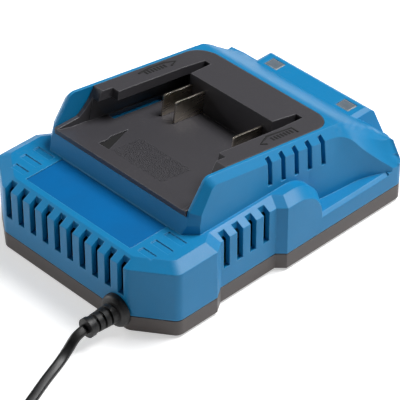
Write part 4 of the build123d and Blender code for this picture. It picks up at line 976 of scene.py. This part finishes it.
# ------------------------------------------------------------------------------- sub-assemblies
@dataclass
class Case:
    """The moulded case: housing, base, label, feet and screws."""

    finishes: Finishes

    def build(self) -> None:
        """Dress the case's nodes."""
        dress = {
            "upper_housing": self.finishes.housing,
            "base_tray": self.finishes.base,
            "label_plate": self.finishes.label,
            "rubber_feet": self.finishes.foot,
            "case_screws": self.finishes.screw,
        }
        for name, material in dress.items():
            set_material(node_object(name), material)


@dataclass
class Cradle:
    """The battery cradle: insert, contact blades and their holder, and the marks moulded on it.

    The rim and the cradle floor lie on planes that fall to the rear. Places on them are plan
    points in millimetres, which on_plane turns into metres.
    """

    finishes: Finishes
    rim_z: float = 53.61 * MM
    fall: float = 0.1581
    floor_drop: float = 15.4 * MM
    right_arrow: tuple[tuple[float, float], ...] = (
        (36.9, 3.4), (35.4, 0.9), (32.3, 7.6), (33.1, 21.6), (37.2, 21.6),
    )
    left_arrow: tuple[tuple[float, float], ...] = (
        (-37.0, -1.0), (-38.2, 6.8), (-38.2, 15.0), (-36.4, 20.6), (-34.4, 16.2),
    )
    bar_rows: tuple[tuple[float, float], ...] = ((35.1, 8.3), (-35.9, 2.4))
    bar_count: int = 7
    bar_pitch: float = 1.85
    bar_size: tuple[float, float, float] = (2.6 * MM, 1.1 * MM, 0.16 * MM)
    stroke_width: float = 0.9 * MM
    stroke_height: float = 0.45 * MM
    # outline of the dark sheet of painted shade in the floor's sunk arrow
    floor_arrow_shade: tuple[tuple[float, float], ...] = (
        (-21.7, -38.5), (-15.3, -38.5), (-23.1, -20.1), (-23.0, -30.3), (-21.8, -33.4),
    )
    arrow_depth: float = 1.1 * MM
    arrow_lift: float = 0.05 * MM
    patch: tuple[float, float, float, float] = (-14.0, 16.5, -38.0, -21.0)
    pebble_spacing: float = 0.75 * MM
    pebble_radius: float = 0.24 * MM
    pebble_seed: int = 7

    def on_plane(self, x: float, y: float, drop: float = 0.0) -> tuple[float, float, float]:
        """A point in metres on the rim plane, or below it by drop, from millimetres x and y."""
        return (x * MM, y * MM, self.rim_z - self.fall * y * MM - drop)

    def build_marks(self) -> None:
        """Lay arrow outlines on both ledges, with a row of small bars in each, coloured near-black as
        painted shade of the engraved marks.
        """
        strokes = stroke_recipe()
        for side, outline in (("right", self.right_arrow), ("left", self.left_arrow)):
            line = bpy.data.meshes.new(f"arrow_{side}_line")
            steps = [(index, index + 1) for index in range(len(outline) - 1)]
            line.from_pydata([self.on_plane(x, y) for x, y in outline], steps, [])
            made = strokes.run(
                line, Width=self.stroke_width, Height=self.stroke_height, Material=self.finishes.marking_shade
            )
            mesh_piece(f"ledge_arrow_{side}", made, self.finishes.marking_shade)
        places = [
            self.on_plane(x, y + step * self.bar_pitch)
            for x, y in self.bar_rows
            for step in range(self.bar_count)
        ]
        seeds = bpy.data.meshes.new("bar_seeds")
        seeds.from_pydata(places, [], [])
        tilt = (-math.atan(self.fall), 0.0, 0.0)
        made = bar_recipe().run(seeds, Size=self.bar_size, Tilt=tilt, Material=self.finishes.marking_shade)
        mesh_piece("ledge_bars", made, self.finishes.marking_shade)

    def build_floor_arrow_shade(self) -> None:
        """Lay a dark sheet at the bottom of the arrow sunk in the cradle floor: painted shade of the deep
        recess.
        """
        drop = self.floor_drop + self.arrow_depth - self.arrow_lift
        sheet = bpy.data.meshes.new("floor_arrow_shade_sheet")
        corners = [self.on_plane(x, y, drop) for x, y in self.floor_arrow_shade]
        sheet.from_pydata(corners, [], [tuple(range(len(corners)))])
        mesh_piece("floor_arrow_shade", sheet, self.finishes.marking_shade)

    def build_patch(self) -> None:
        """Scatter the pebbled patch over the cradle floor's front half."""
        left, right, front, rear = self.patch
        corners = [(left, front), (right, front), (right, rear), (left, rear)]
        sheet = bpy.data.meshes.new("patch_sheet")
        sheet.from_pydata([self.on_plane(x, y, self.floor_drop) for x, y in corners], [], [(0, 1, 2, 3)])
        made = pebble_recipe().run(
            sheet,
            Spacing=self.pebble_spacing,
            Radius=self.pebble_radius,
            Seed=self.pebble_seed,
            Material=self.finishes.cradle,
        )
        mesh_piece("cradle_pebbles", made, self.finishes.cradle)

    def build(self) -> None:
        """Dress the cradle's nodes and add its marks."""
        self.build_marks()
        self.build_floor_arrow_shade()
        self.build_patch()
        set_material(node_object("cradle_insert"), self.finishes.cradle)
        set_material(node_object("terminal_holder"), self.finishes.black_part)
        for pole in ("positive", "sense", "negative"):
            set_material(node_object(f"terminal_blade_{pole}"), self.finishes.contact)
        for name in ("insert_screws", "holder_screws"):
            set_material(node_object(name), self.finishes.screw)


@dataclass
class Lamps:
    """The two status lamps and their little board."""

    finishes: Finishes

    def build(self) -> None:
        """Dress the lamps' nodes."""
        for side in ("left", "right"):
            set_material(node_object(f"led_window_{side}"), self.finishes.lamp)
        set_material(node_object("status_leds"), self.finishes.lamp)
        set_material(node_object("led_board"), self.finishes.board)
        set_material(node_object("led_board_screws"), self.finishes.screw)
        set_material(node_object("led_ribbon"), self.finishes.grey_part)


@dataclass
class Electronics:
    """The circuit board and what is soldered to it."""

    finishes: Finishes

    def build(self) -> None:
        """Dress the board's nodes."""
        finishes = self.finishes
        dress = {
            "main_board": finishes.board,
            "mains_fuse": finishes.lamp,
            "x2_capacitor": finishes.amber_part,
            "common_mode_choke": finishes.green_part,
            "bridge_rectifier": finishes.black_part,
            "bulk_capacitor": finishes.black_part,
            "transformer_core": finishes.black_part,
            "transformer_bobbin": finishes.black_part,
            "transformer_winding": finishes.amber_part,
            "primary_heatsink": finishes.aluminium,
            "power_transistor": finishes.black_part,
            "output_heatsink": finishes.aluminium,
            "output_diode": finishes.black_part,
            "output_capacitors": finishes.black_part,
            "y_capacitor": finishes.blue_part,
            "optocoupler": finishes.black_part,
            "control_chips": finishes.black_part,
            "shunt_resistors": finishes.black_part,
            "output_wires": finishes.lead,
            "mains_wires": finishes.lead,
            "board_screws": finishes.screw,
        }
        for name, material in dress.items():
            set_material(node_object(name), material)


def main() -> None:
    """Load the frame and build the charger around it, piece by piece."""
    logging.basicConfig(level=logging.INFO, format="%(name)s: %(message)s")
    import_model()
    ViewPoint().build()
    Studio().build()
    finishes = Finishes()
    for assembly in (
        FlatLead(finishes),
        Case(finishes),
        Cradle(finishes),
        Lamps(finishes),
        Electronics(finishes),
    ):
        assembly.build()
        log.info("built %s", type(assembly).__name__)


if __name__ == "__main__":
    main()
